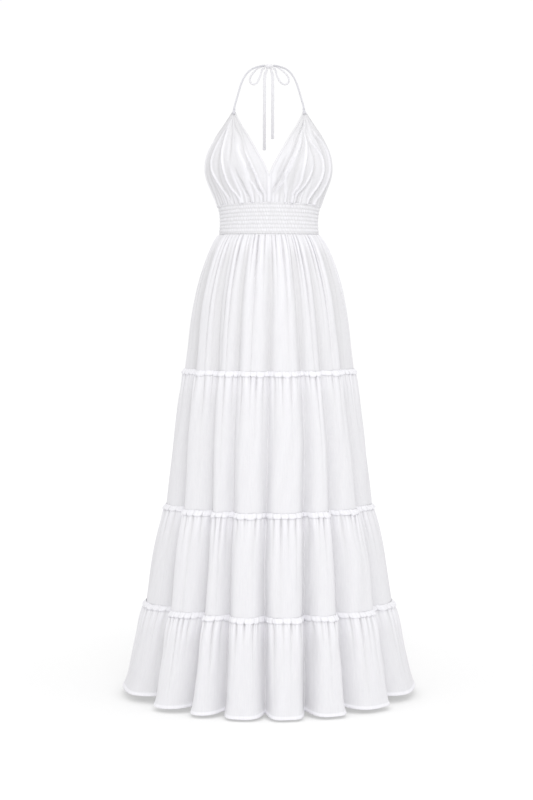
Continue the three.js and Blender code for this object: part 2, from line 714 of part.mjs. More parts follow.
function buildBodice() {
  const meshes = [];
  for (const side of ['left', 'right']) {
    const cup = cupStrip(
      side,
      (length) => necklineWidth(length) + SEAM_GAP,
      (length) => length - bindingWidth(length) - SEAM_GAP,
      CUP_SAMPLES,
      0,
    );
    const neckline = cupStrip(side, () => 0, necklineWidth, 2, EDGE_RAISE);
    const binding = cupStrip(
      side,
      (length) => length - bindingWidth(length),
      (length) => length,
      2,
      EDGE_RAISE,
    );
    meshes.push(clothMesh(`cup_${side}`, cup));
    meshes.push(clothMesh(`neckline_${side}`, neckline));
    meshes.push(clothMesh(`side_binding_${side}`, binding));
  }
  return meshes;
}

// A flattened round section with eight sides, its corners on an ellipse.
function cordSection(width, thickness) {
  const points = [];
  for (let i = 0; i < CORD_SIDES; i += 1) {
    const angle = (2 * Math.PI * (i + 0.5)) / CORD_SIDES;
    points.push(new THREE.Vector2((width / 2) * Math.cos(angle), (thickness / 2) * Math.sin(angle)));
  }
  return new THREE.Shape(points);
}

// A sewn cord along a route through the given points.
function cordGeometry(route, width, thickness, steps, mirror = 1) {
  const points = route.map(([x, y, z]) => new THREE.Vector3(x * mirror, y, z));
  return new THREE.ExtrudeGeometry(cordSection(width, thickness), {
    steps,
    bevelEnabled: false,
    extrudePath: new THREE.CatmullRomCurve3(points, false, 'centripetal'),
  });
}

// The knot: the strap ends wound round each other, a short barrel across the nape.
function knotGeometry() {
  const half = KNOT_LENGTH / 2;
  const profile = [
    [0, -half],
    [KNOT_END_RADIUS, -half],
    [KNOT_RADIUS, -KNOT_RIDGE],
    [KNOT_WAIST_RADIUS, -KNOT_WAIST],
    [KNOT_WAIST_RADIUS, KNOT_WAIST],
    [KNOT_RADIUS, KNOT_RIDGE],
    [KNOT_END_RADIUS, half],
    [0, half],
  ].map(([radius, along]) => new THREE.Vector2(radius, along));
  return new THREE.LatheGeometry(profile, KNOT_SIDES).rotateZ(-Math.PI / 2);
}

function buildTie() {
  const meshes = [];
  for (const side of ['left', 'right']) {
    const mirror = side === 'right' ? 1 : -1;
    const strap = cordGeometry(STRAP_ROUTE, STRAP_WIDTH, STRAP_THICKNESS, STRAP_STEPS, mirror);
    const loop = cordGeometry(LOOP_ROUTES[side], LOOP_WIDTH, TIE_THICKNESS, LOOP_STEPS);
    const end = cordGeometry(TIE_ROUTES[side], TIE_WIDTH, TIE_THICKNESS, TIE_STEPS);
    meshes.push(clothMesh(`neck_strap_${side}`, strap));
    meshes.push(clothMesh(`bow_loop_${side}`, loop));
    meshes.push(clothMesh(`tie_end_${side}`, end));
  }
  const knot = clothMesh('neck_knot', knotGeometry());
  knot.position.copy(KNOT_CENTRE);
  meshes.push(knot);
  return meshes;
}

const dress = new THREE.Group();
dress.add(...buildBodice(), ...buildWaistband(), ...buildSkirt(), ...buildTie());

export default dress;
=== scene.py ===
"""A white cotton halter maxi dress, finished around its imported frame.

The file is laid out as an add-on. Its property groups hold the sizes and colours of the dress,
and each group of pieces has an operator of its own. Shapes are worked out in millimetres, +Z up
and front towards -Y, with levels measured down from the nape, and become metres in their meshes.
"""

import bpy
import numpy as np
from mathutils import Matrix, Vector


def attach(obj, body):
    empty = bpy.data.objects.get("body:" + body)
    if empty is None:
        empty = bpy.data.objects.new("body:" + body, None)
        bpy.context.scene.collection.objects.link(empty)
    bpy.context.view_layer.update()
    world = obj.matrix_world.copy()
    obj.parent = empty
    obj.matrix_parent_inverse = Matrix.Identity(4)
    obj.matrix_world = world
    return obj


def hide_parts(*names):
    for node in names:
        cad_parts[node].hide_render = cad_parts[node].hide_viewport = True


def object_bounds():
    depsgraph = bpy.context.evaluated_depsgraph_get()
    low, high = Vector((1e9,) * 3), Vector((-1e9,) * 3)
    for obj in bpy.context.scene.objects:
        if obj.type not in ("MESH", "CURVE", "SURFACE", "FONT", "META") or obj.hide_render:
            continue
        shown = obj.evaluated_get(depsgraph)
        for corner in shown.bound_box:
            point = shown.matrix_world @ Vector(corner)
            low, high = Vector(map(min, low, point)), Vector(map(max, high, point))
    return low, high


bl_info = {
    "name": "Halter maxi dress",
    "version": (1, 0, 0),
    "blender": (4, 5, 0),
    "location": "View3D > Sidebar > Dress",
    "description": "Finishes a white halter dress with a tiered skirt around its packed frame",
    "category": "Add Mesh",
}

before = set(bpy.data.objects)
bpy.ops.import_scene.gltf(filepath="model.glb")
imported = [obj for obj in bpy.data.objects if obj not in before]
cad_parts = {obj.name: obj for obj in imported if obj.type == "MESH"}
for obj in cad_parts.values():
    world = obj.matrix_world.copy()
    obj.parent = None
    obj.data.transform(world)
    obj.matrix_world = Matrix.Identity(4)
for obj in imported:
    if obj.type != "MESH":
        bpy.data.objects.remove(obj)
CAD_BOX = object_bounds()

MM = 0.001
BODY = "root"
CLOTH_SLOT = "cotton_cloth"
BINDING_SLOT = "cotton_binding"
CLOTH_MAP = "Cloth"
# Name of the point attribute that holds painted shade and highlight, from -1 in a groove to 1 on a ridge
PAINTED_SHADING = "PaintedShading"

# Levels in millimetres, down from the nape
APEX_Z = -117.5
BAND_TOP_SIDE_Z = -334.3
BAND_TOP_RISE_FRONT = 10.0
BAND_TOP_RISE_BACK = 5.4
BAND_BOTTOM_Z = -397.0
SEAM_Z = (-717.5, -1035.0, -1264.0)
HEM_SIDE_Z = -1457.0
HEM_FRONT_DROP = 17.0
HEM_BACK_DROP = 7.0
HEM_GROOVE_RISE = 7.0
# How far a tier reaches below its seam, under the next one's heading
SEAM_LAP = 1.0

# How many points measure the length of a route, of a ring and of a cup's width
ROUTE_POINTS = 1200
RING_POINTS = 7201
CUP_POINTS = 241

# Reaches in millimetres over which a cloth's relief is turned into painted shade and highlight, with their
# weights
PAINTED_SHADING_REACHES = ((4.0, 0.9), (14.0, 0.3))
# Shades of cotton, as multiples of its colour: its greyest and palest threads, and the painted
# shade at the bottom of its grooves and the painted highlight at the top of its ridges
THREAD_SHADES = ((0.937, 0.929, 0.95), (1.057, 1.052, 1.048))
PAINTED_SHADE_AND_HIGHLIGHT = ((0.885, 0.885, 0.87), (1.11, 1.11, 1.11))

# Rings of the waistband: level, half width, half depth, middle
BAND_RINGS = np.array([
    (-329.0, 118.2, 87.5, -90.0),
    (-349.0, 113.8, 85.5, -90.0),
    (-377.0, 112.4, 84.5, -90.0),
    (-397.0, 114.6, 86.5, -90.0),
])

# Rings of the four tiers: level, half width, half depth, middle
TIER_RINGS = (
    np.array([
        (-397.0, 115.8, 87.5, -90.0),
        (-412.0, 127.0, 97.0, -90.0),
        (-437.0, 140.0, 108.0, -90.0),
        (-465.0, 151.5, 117.0, -89.0),
        (-521.0, 169.5, 131.0, -88.0),
        (-605.0, 186.0, 146.0, -87.0),
        (-717.5, 200.0, 160.0, -86.0),
    ]),
    np.array([
        (-717.5, 202.5, 162.0, -86.0),
        (-746.0, 207.5, 168.0, -85.0),
        (-859.0, 223.5, 186.0, -84.0),
        (-1035.0, 243.0, 210.0, -83.0),
    ]),
    np.array([
        (-1035.0, 246.0, 213.0, -83.0),
        (-1060.0, 253.0, 221.0, -82.0),
        (-1115.0, 267.0, 234.0, -82.0),
        (-1264.0, 291.0, 262.0, -80.0),
    ]),
    np.array([
        (-1264.0, 294.5, 265.0, -80.0),
        (-1288.0, 303.0, 273.0, -80.0),
        (-1350.0, 317.0, 287.0, -79.0),
        (-1462.0, 341.0, 313.0, -78.0),
    ]),
)

# The long folds, down the skirt: level, depth, spread in degrees
FOLD_SIZES = np.array([
    (-397.0, 1.0, 4.5),
    (-480.0, 7.0, 4.2),
    (-717.0, 18.0, 3.8),
    (-1035.0, 31.0, 3.3),
    (-1264.0, 43.0, 3.0),
    (-1465.0, 54.0, 2.8),
])

# Where each long fold's groove lies, in degrees from the centre front towards +X, at the fold
# levels; its share of the full depth; and how gradually it opens on its two sides
FOLD_LEVELS = np.array([-560.0, -880.0, -1150.0, -1465.0])
FOLDS = np.array([
    (-66, -61.5, -57, -54.5, 1.38, 3.1, 0.8),
    (-40, -38, -34, -34.3, 0.98, 1.9, 0.8),
    (-22, -22.6, -20.8, -19.2, 0.9, 1.4, 0.8),
    (0.4, -0.8, -2.4, -1.6, 0.9, 1.0, 0.8),
    (23, 23, 19, 15.6, 1.02, 0.9, 1.1),
    (38, 40, 36.5, 33.6, 0.95, 0.8, 1.7),
    (61, 61, 62.5, 57.6, 1.1, 0.8, 2.7),
    (100, 101, 102, 103, 0.8, 1.6, 1),
    (117, 118, 119, 120, 1, 1, 1.8),
    (134, 135, 135, 136, 0.85, 1.7, 0.9),
    (151, 152, 153, 153, 1.05, 0.9, 1.4),
    (168, 168, 170, 169, 0.95, 1.2, 0.9),
    (187, 186, 186, 187, 1.1, 1, 1.5),
    (204, 203, 202, 204, 0.9, 1.3, 0.9),
    (222, 221, 220, 219, 1.05, 0.9, 1.8),
    (241, 240, 238, 238, 1, 2, 1),
    (260, 259, 258, 257, 0.8, 1, 1.5),
], float)

# Rings of the bust: level, half width, half depth, middle, distance of the neckline from the
# centre front, and how far round the outer edge turns in degrees
CUP_RINGS = np.array([
    (-117.5, 84.6, 16, -138, 77, 90),
    (-127, 90.4, 27, -134, 72.5, 91),
    (-148, 105, 52, -122, 62.3, 93),
    (-172, 122.6, 76, -109, 47, 95),
    (-196, 136.2, 94, -98, 33.5, 97),
    (-220, 145, 104, -91, 20, 99),
    (-240, 147.6, 107, -89, 8.5, 100),
    (-262, 146.2, 105, -88, 0.15, 101),
    (-294, 135, 98, -89, 0.15, 101),
    (-315, 126.5, 92, -90, 0.15, 101),
    (-334.3, 119.4, 88, -90, 0.15, 101),
])
# The fullest place of the bust, how far it brings a cup forward, and how wide and tall it is
CUP_ROUND = {"x": 78.0, "z": -240.0, "depth": 25.0, "spread_x": 47.0, "spread_z": 54.0}
# Widths of the neckline hem and of the side binding, and the most of a cup's width that each takes
NECKLINE_WIDTH = 5.2
BINDING_WIDTH = 4.4
EDGE_SHARE = 0.3

# Routes of the straps, the bow's loops and the tie's ends, in metres. The loops and the ends take
# the same way as their solids do
STRAP_ROUTE = (
    (0.0806, -0.1455, -0.1125), (0.0789, -0.139, -0.104), (0.0758, -0.125, -0.091),
    (0.0724, -0.108, -0.077), (0.0688, -0.09, -0.0625), (0.0648, -0.072, -0.0475),
    (0.0588, -0.055, -0.0325), (0.0504, -0.038, -0.0185), (0.04, -0.024, -0.0085),
    (0.027, -0.01, -0.002), (0.016, 0.0026, 0.002), (0.0099, 0.0041, 0.0026),
)
LOOP_ROUTES = {
    "left": (
        (-0.0099, 0.0092, 0.0024), (-0.017, 0.0108, 0.0012), (-0.0228, 0.0118, -0.0013),
        (-0.0284, 0.0126, -0.0046), (-0.0354, 0.0132, -0.011), (-0.0413, 0.0135, -0.019),
        (-0.0442, 0.0133, -0.0246), (-0.0454, 0.013, -0.0302), (-0.0428, 0.0124, -0.0376),
        (-0.037, 0.012, -0.041), (-0.03, 0.012, -0.0386), (-0.0252, 0.012, -0.0316),
        (-0.0223, 0.012, -0.0247), (-0.0196, 0.012, -0.018), (-0.015, 0.0106, -0.0054),
        (-0.0099, 0.0094, -0.0034),
    ),
    "right": (
        (0.0099, 0.0092, 0.0024), (0.017, 0.0108, 0.0012), (0.0218, 0.0118, -0.0013),
        (0.0268, 0.0126, -0.0046), (0.0334, 0.0132, -0.0095), (0.0397, 0.0135, -0.015),
        (0.0438, 0.0133, -0.0203), (0.0466, 0.013, -0.026), (0.0462, 0.0124, -0.0362),
        (0.0397, 0.012, -0.041), (0.0325, 0.012, -0.0398), (0.0252, 0.012, -0.033),
        (0.0214, 0.012, -0.026), (0.0182, 0.012, -0.019), (0.0146, 0.0106, -0.006),
        (0.0099, 0.0094, -0.0036),
    ),
}
TIE_ROUTES = {
    "left": (
        (-0.0048, 0.007, -0.00515), (-0.0053, 0.0075, -0.008), (-0.0069, 0.0082, -0.0118),
        (-0.0092, 0.009, -0.017), (-0.0102, 0.0095, -0.025), (-0.0106, 0.0098, -0.036),
        (-0.0106, 0.0099, -0.052), (-0.0106, 0.01, -0.07), (-0.0106, 0.01, -0.09),
        (-0.0107, 0.01, -0.11), (-0.0108, 0.01, -0.13), (-0.0109, 0.01, -0.15),
        (-0.0109, 0.01, -0.166), (-0.0109, 0.01, -0.181), (-0.0109, 0.01, -0.196),
    ),
    "right": (
        (0.005, 0.007, -0.00515), (0.0053, 0.0075, -0.008), (0.0064, 0.0082, -0.0118),
        (0.0079, 0.009, -0.017), (0.0086, 0.0095, -0.025), (0.0088, 0.0098, -0.036),
        (0.0088, 0.0099, -0.05), (0.0087, 0.01, -0.066), (0.0087, 0.01, -0.083),
        (0.0086, 0.01, -0.1), (0.0085, 0.01, -0.115), (0.0085, 0.01, -0.13),
        (0.0085, 0.01, -0.143), (0.0085, 0.01, -0.156), (0.0085, 0.01, -0.1695),
    ),
}
# Distances in millimetres between the rings of points along a cord
ROUTE_STEPS = {"loop": 0.9, "tie": 1.0, "strap": 1.6}
# The knot: its middle, half its width and its radius, in millimetres
KNOT_CENTRE = (0.0, 6.6, 1.0)
KNOT_HALF = 9.0
KNOT_RADIUS = 5.8


class DressSizes(bpy.types.PropertyGroup):
    """Sizes that a maker would change without changing the pattern."""

    cloth_thickness: bpy.props.FloatProperty(
        name="Cloth thickness", description="Thickness of a single panel of cloth",
        default=0.001, min=0.0003, unit="LENGTH",
    )
    thread_spacing: bpy.props.FloatProperty(
        name="Drawn thread spacing", description="Distance between the threads of the weave as drawn",
        default=0.0014, min=0.0003, unit="LENGTH",
    )
    heading_height: bpy.props.FloatProperty(
        name="Heading height", description="How far each heading stands above its seam",
        default=0.013, min=0.004, unit="LENGTH",
    )
    heading_lean: bpy.props.FloatProperty(
        name="Heading lean", description="How far the top of each heading leans out",
        default=0.0042, min=0.001, unit="LENGTH",
    )
    hem_turn: bpy.props.FloatProperty(
        name="Hem", description="Depth of the turned hem of the skirt",
        default=0.0065, min=0.002, unit="LENGTH",
    )
    tie_width: bpy.props.FloatProperty(
        name="Tie width", description="Width of the flat ends of the tie",
        default=0.0074, min=0.003, unit="LENGTH",
    )
    loop_width: bpy.props.FloatProperty(
        name="Loop width", description="Width of the loops of the bow",
        default=0.0046, min=0.002, unit="LENGTH",
    )
    strap_width: bpy.props.FloatProperty(
        name="Strap width", description="Width of the halter straps",
        default=0.0042, min=0.002, unit="LENGTH",
    )


class DressColours(bpy.types.PropertyGroup):
    """Colours of the cotton, as sRGB hex values."""

    cloth: bpy.props.StringProperty(
        name="Cloth", description="Colour of the dress cotton", default="E9E9EC",
    )
    binding: bpy.props.StringProperty(
        name="Binding", description="Colour of the folded and stitched edges", default="EBEBEE",
    )
    tie: bpy.props.StringProperty(
        name="Tie", description="Colour of the bow and the tie ends", default="E9E9EC",
    )
    # Darker than the cloth: painted shade, for the grey that the thin rolled straps show
    strap: bpy.props.StringProperty(
        name="Strap", description="Colour of the straps and their tabs", default="D1D1D6",
    )
    floor: bpy.props.StringProperty(
        name="Floor", description="Colour of the studio floor", default="BEBEBE",
    )


class DressStage(bpy.types.PropertyGroup):
    """The camera's place, the floor and the lights."""

    camera_place: bpy.props.FloatVectorProperty(
        name="Camera place", description="Where the camera stands",
        default=(-0.00585, -4.688, -0.46793), subtype="TRANSLATION", unit="LENGTH",
    )
    camera_tilt: bpy.props.FloatProperty(
        name="Camera tilt", description="How far the camera looks down",
        default=np.radians(3.93), subtype="ANGLE",
    )
    camera_lens: bpy.props.FloatProperty(
        name="Lens", description="Focal length of the camera in millimetres", default=88.46,
    )
    floor_gap: bpy.props.FloatProperty(
        name="Floor gap", description="How far the hem hangs above the floor",
        default=0.005, min=0.001, unit="LENGTH",
    )
    sky: bpy.props.FloatProperty(
        name="Surrounding light", description="Strength of the even white light all round", default=0.845,
    )
    backdrop: bpy.props.FloatProperty(
        name="Backdrop", description="How bright the backdrop looks from the camera", default=1.02,
    )
    floor_glow: bpy.props.FloatVectorProperty(
        name="Floor glow", description="How much brighter than lit the floor looks, near and far off",
        default=(0.475, 0.63), size=2,
    )
    key: bpy.props.FloatProperty(
        name="Main light", description="Power of the large light at the front right",
        default=60.0, unit="POWER",
    )
    top: bpy.props.FloatProperty(
        name="Top light", description="Power of the large light overhead",
        default=8.0, unit="POWER",
    )


def linear(hex_colour):
    """The linear colour of an sRGB hex value, with full alpha."""
    parts = np.array([int(hex_colour[i:i + 2], 16) for i in (0, 2, 4)]) / 255
    straight = np.where(parts <= 0.04045, parts / 12.92, ((parts + 0.055) / 1.055) ** 2.4)
    return (*straight.tolist(), 1.0)


def add_node(tree, kind, settings=None, inputs=None):
    """Adds a node. Settings are its own properties; an input takes a value or another's output."""
    made = tree.nodes.new(kind)
    for name, value in (settings or {}).items():
        setattr(made, name, value)
    for name, value in (inputs or {}).items():
        if isinstance(value, bpy.types.NodeSocket):
            tree.links.new(value, made.inputs[name])
        else:
            made.inputs[name].default_value = value
    return made


def read(table, column, z):
    """One column of a table at any level, by straight lines between its rows."""
    return np.interp(-z, -table[:, 0], table[:, column])


def curve(places, values, at):
    """A smooth line through values at rising places: between two of them it is the cubic that
    starts and ends with the mean slope there."""
    slopes = np.gradient(values, places)
    i = np.clip(np.searchsorted(places, at, side="right") - 1, 0, len(places) - 2)
    step = places[i + 1] - places[i]
    t = np.clip((at - places[i]) / step, 0, 1)
    start = (1 + 2 * t) * (1 - t) ** 2 * values[i] + t * (1 - t) ** 2 * step * slopes[i]
    end = t * t * (3 - 2 * t) * values[i + 1] + t * t * (t - 1) * step * slopes[i + 1]
    return start + end


def band_top(turn):
    """The level of the waistband's upper edge, which rises to the front and, less, to the back."""
    facing = np.cos(np.radians(turn))
    return BAND_TOP_SIDE_Z + np.where(facing > 0, BAND_TOP_RISE_FRONT, -BAND_TOP_RISE_BACK) * facing


def smoothstep(low, high, value):
    """0 below low and 1 above high, turning smoothly between them."""
    t = np.clip((value - low) / (high - low), 0, 1)
    return t * t * (3 - 2 * t)


def running_length(points, axis):
    """The distance along each line of points, from 0 at its first point."""
    steps = np.linalg.norm(np.diff(points, axis=axis), axis=-1)
    start = np.zeros_like(np.take(steps, [0], axis=axis))
    return np.concatenate([start, np.cumsum(steps, axis=axis)], axis=axis)


def ring_points(table, turn, z):
    """A level ellipse: x is half width x sin(turn), and y is middle - half depth x cos(turn)."""
    angle = np.radians(turn)
    wide, deep, middle = (curve(-table[:, 0], table[:, i], -z) for i in (1, 2, 3))
    return np.stack([wide * np.sin(angle), middle - deep * np.cos(angle), z + 0 * angle], -1)


def ring_outward(table, turn, z):
    """The level direction at right angles to the ellipse, away from the wearer."""
    angle = np.radians(turn)
    out = np.stack([
        read(table, 2, z) * np.sin(angle),
        -read(table, 1, z) * np.cos(angle),
        0 * angle,
    ], -1)
    return out / np.linalg.norm(out, axis=-1, keepdims=True)


def level_outward(points, closed=True):
    """The level direction that leaves each row of a folded surface at right angles, from the line
    between the points on either side."""
    if closed:
        along = np.roll(points, -1, axis=1) - np.roll(points, 1, axis=1)
    else:
        along = np.gradient(points, axis=1)
    out = np.stack([along[..., 1], -along[..., 0], 0 * along[..., 0]], -1)
    return out / np.maximum(np.linalg.norm(out, axis=-1, keepdims=True), 1e-9)


def fold_places(z):
    """The angle of each long fold at one level."""
    return np.array([np.interp(-z, -FOLD_LEVELS, fold[:4]) for fold in FOLDS])


def groove_share(turn, z):
    """How deep the long folds are: the sum of strength x exp(-|angle from the fold / spread|^1.5),
    where the spread differs on a fold's two sides."""
    spread = read(FOLD_SIZES, 2, z)
    share = np.zeros(np.broadcast(turn, z).shape)
    for *places, strength, before, after in FOLDS:
        away = (turn - np.interp(-z, -FOLD_LEVELS, places) + 540) % 360 - 180
        share += strength * np.exp(-np.abs(away / (spread * np.where(away < 0, before, after))) ** 1.5)
    return share


def skirt_points(table, turn, z):
    """A tier's plain surface: its ring, drawn in by the long folds."""
    depth = read(FOLD_SIZES, 1, z) * groove_share(turn, z)
    return ring_points(table, turn, z) - ring_outward(table, turn, z) * depth[..., None]


def carried(turns, start_z, z):
    """Carries columns from one level to another, so that each keeps its place between two folds."""
    here = fold_places(start_z)
    there = fold_places(z)
    here = np.concatenate([here - 360, here, here + 360])
    there = np.concatenate([there - 360, there, there + 360])
    return np.interp(turns, here, there)


def uneven_edges(rng, count, unevenness):
    """Splits the way from 0 to 1 into stretches of uneven width, and gives their edges."""
    widths = rng.uniform(1 - unevenness, 1 + unevenness, count)
    return np.concatenate([[0], np.cumsum(widths)]) / widths.sum()


def columns_of(edges, samples):
    """Places for columns: as many evenly across each stretch as samples says."""
    return (edges[:-1, None] + np.diff(edges)[:, None] * np.arange(samples) / samples).ravel()


def grouped(rng, edges, sizes):
    """Joins neighbouring stretches, as many at a time as one of the sizes says."""
    kept = [0]
    while kept[-1] < len(edges) - 1:
        kept.append(min(kept[-1] + int(rng.choice(sizes)), len(edges) - 1))
    return edges[kept]


def across_puffs(place, edges):
    """Each place's stretch and how far across it the place lies, from 0 to 1."""
    puff = np.clip(np.searchsorted(edges, place, side="right") - 1, 0, len(edges) - 2)
    return puff, (place - edges[puff]) / (edges[puff + 1] - edges[puff])


def dome(across, roundness=0.5):
    """A rounded ridge between two sharp grooves: (4 t (1 - t)) to the power of its roundness."""
    return np.maximum(4 * across * (1 - across), 0) ** roundness


def turns_at(table, z, place, fold_weight):
    """Angles for places round a folded ring, measured along it with the way into the folds counted
    at fold_weight of its length, so that most columns lie where they show."""
    turn = np.linspace(-90, 270, RING_POINTS)
    ring = ring_points(table, turn, np.full_like(turn, z))
    drawn_in = read(FOLD_SIZES, 1, z) * groove_share(turn, np.full_like(turn, z))
    steps = np.hypot(np.linalg.norm(np.diff(ring, axis=0), axis=1), fold_weight * np.diff(drawn_in))
    length = np.concatenate([[0], np.cumsum(steps)])
    return np.interp(place * length[-1], length, turn), length[-1]


def hem_level(turn):
    """The hem's level: lower at the front and back, and lifted a little in each groove."""
    facing = np.cos(np.radians(turn))
    drop = np.where(facing > 0, HEM_FRONT_DROP * facing, -HEM_BACK_DROP * facing)
    grooves = np.minimum(groove_share(turn, np.full_like(turn, HEM_SIDE_Z)), 1)
    return HEM_SIDE_Z - drop + HEM_GROOVE_RISE * grooves


def waves(rng, across, down, lengths, count):
    """Gentle unevenness: the mean of waves with uneven lengths, slants and starts, from -1 to 1."""
    total = 0
    for _ in range(count):
        wide = rng.uniform(*lengths[0])
        tall = rng.uniform(*lengths[1])
        start = rng.uniform(0, 2 * np.pi)
        total = total + np.sin(2 * np.pi * (across / wide + down / tall) + start)
    return total / count


def painted_shading_of(lift, spacing, mode="wrap"):
    """Painted shade and highlight from a cloth's relief, from -1 in a groove to 1 on a ridge: by how
    far each point stands out from the mean of the cloth beside it, near by and farther off."""
    total = 0
    for reach, weight in PAINTED_SHADING_REACHES:
        side = max(int(round(reach / spacing)), 1)
        padded = np.pad(lift, ((0, 0), (side + 1, side)), mode).cumsum(1)
        mean = (padded[:, 2 * side + 1:] - padded[:, :-2 * side - 1]) / (2 * side + 1)
        total = total + weight * (lift - mean)
    return np.tanh(total)


def grid_mesh(name, points, closed_rows=False, closed_columns=False, capped=False, painted_shading=None):
    """A mesh from a grid of points in millimetres. Rows go down the cloth and columns from left to
    right as seen from outside. Capped fills the first and last row of a tube from its middle."""
    rows, columns = points.shape[:2]
    wrapped = np.concatenate([points, points[:1]]) if closed_rows else points
    wrapped = np.concatenate([wrapped, wrapped[:, :1]], axis=1) if closed_columns else wrapped
    across = running_length(wrapped, 1).mean(0)
    down = running_length(wrapped, 0).mean(1)
    i, j = np.meshgrid(np.arange(len(down) - 1), np.arange(len(across) - 1), indexing="ij")
    corners = ((0, 0), (1, 0), (1, 1), (0, 1))
    faces = np.stack([((i + a) % rows) * columns + (j + b) % columns for a, b in corners], -1)
    places = np.stack([np.stack([across[j + b], down[i + a]], -1) for a, b in corners], 2)
    vertices = points.reshape(-1, 3)
    faces = faces.reshape(-1, 4).tolist()
    places = places.reshape(-1, 2)
    if capped:
        first = np.arange(columns)
        last = first + (rows - 1) * columns
        middles = np.stack([points[0].mean(0), points[-1].mean(0)])
        vertices = np.concatenate([vertices, middles])
        top = [[rows * columns, int(a), int(b)] for a, b in zip(first, np.roll(first, -1))]
        foot = [[rows * columns + 1, int(b), int(a)] for a, b in zip(last, np.roll(last, -1))]
        faces += top + foot
        at_top = np.zeros((3 * len(top), 2))
        at_foot = np.full((3 * len(foot), 2), down[-1])
        places = np.concatenate([places, at_top, at_foot])
    mesh = bpy.data.meshes.new(name)
    mesh.from_pydata((vertices * MM).tolist(), [], faces)
    mesh.uv_layers.new(name=CLOTH_MAP)
    mesh.uv_layers[CLOTH_MAP].uv.foreach_set("vector", (places * MM).astype(np.float32).ravel())
    # The painted shade and highlight, one value a point, which the cotton turns into colour
    if painted_shading is not None:
        painted_tint = mesh.attributes.new(PAINTED_SHADING, "FLOAT", "POINT")
        painted_tint.data.foreach_set("value", painted_shading.astype(np.float32).ravel())
    mesh.shade_smooth()
    return mesh


def add_piece(name, mesh, material, nodes=()):
    """Puts a finished mesh into the scene as a piece of the dress, in place of its solids."""
    piece = bpy.data.objects.new(name, mesh)
    bpy.context.scene.collection.objects.link(piece)
    mesh.materials.append(material)
    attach(piece, BODY)
    if nodes:
        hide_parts(*nodes)
    return piece


def thicken(piece, thickness):
    """Gives a single surface its thickness, towards the wearer."""
    solid = piece.modifiers.new("Cloth", "SOLIDIFY")
    solid.thickness = thickness
    solid.offset = -1
    solid.use_even_offset = False
    return piece


# The cotton's finishes, named by their colours: what each is, how deep its crinkles are in metres,
# and how deep its weave is as a share of the thread spacing
COTTONS = {
    # The single cloth of the panels, washed and left unpressed, so that it is softly crinkled
    "cloth": ("Washed white cotton, plain weave", 0.0024, 0.1),
    # Folded and stitched flat along the edges, so that it is smoother and a little paler
    "binding": ("Folded white cotton binding", 0.00012, 0.03),
    # Folded four times into the narrow tie, so that it is firm and nearly smooth
    "tie": ("Folded white cotton tie", 0.00008, 0.02),
    # Rolled tight, and coloured darker than the cloth as painted shade
    "strap": ("Rolled white cotton strap", 0.00008, 0.02),
}
# Metres from band to band of a wave texture at a scale of 1
WAVE_BAND = 0.314
# How many crinkles, slubs and pale or grey streaks of thread there are to a metre: they are about
# 22, 5 and 2.4 mm wide
CRINKLES_A_METRE = 46.0
SLUBS_A_METRE = 210.0
STREAKS_A_METRE = 420.0
# Crinkles and streaks are longer down the cloth than across it
CRINKLE_STRETCH = (1.0, 1.0, 0.3)
STREAK_STRETCH = (1.0, 0.06, 1.0)
# Depth of the slubs, as a share of the depth of the crinkles
SLUB_DEPTH = 0.16


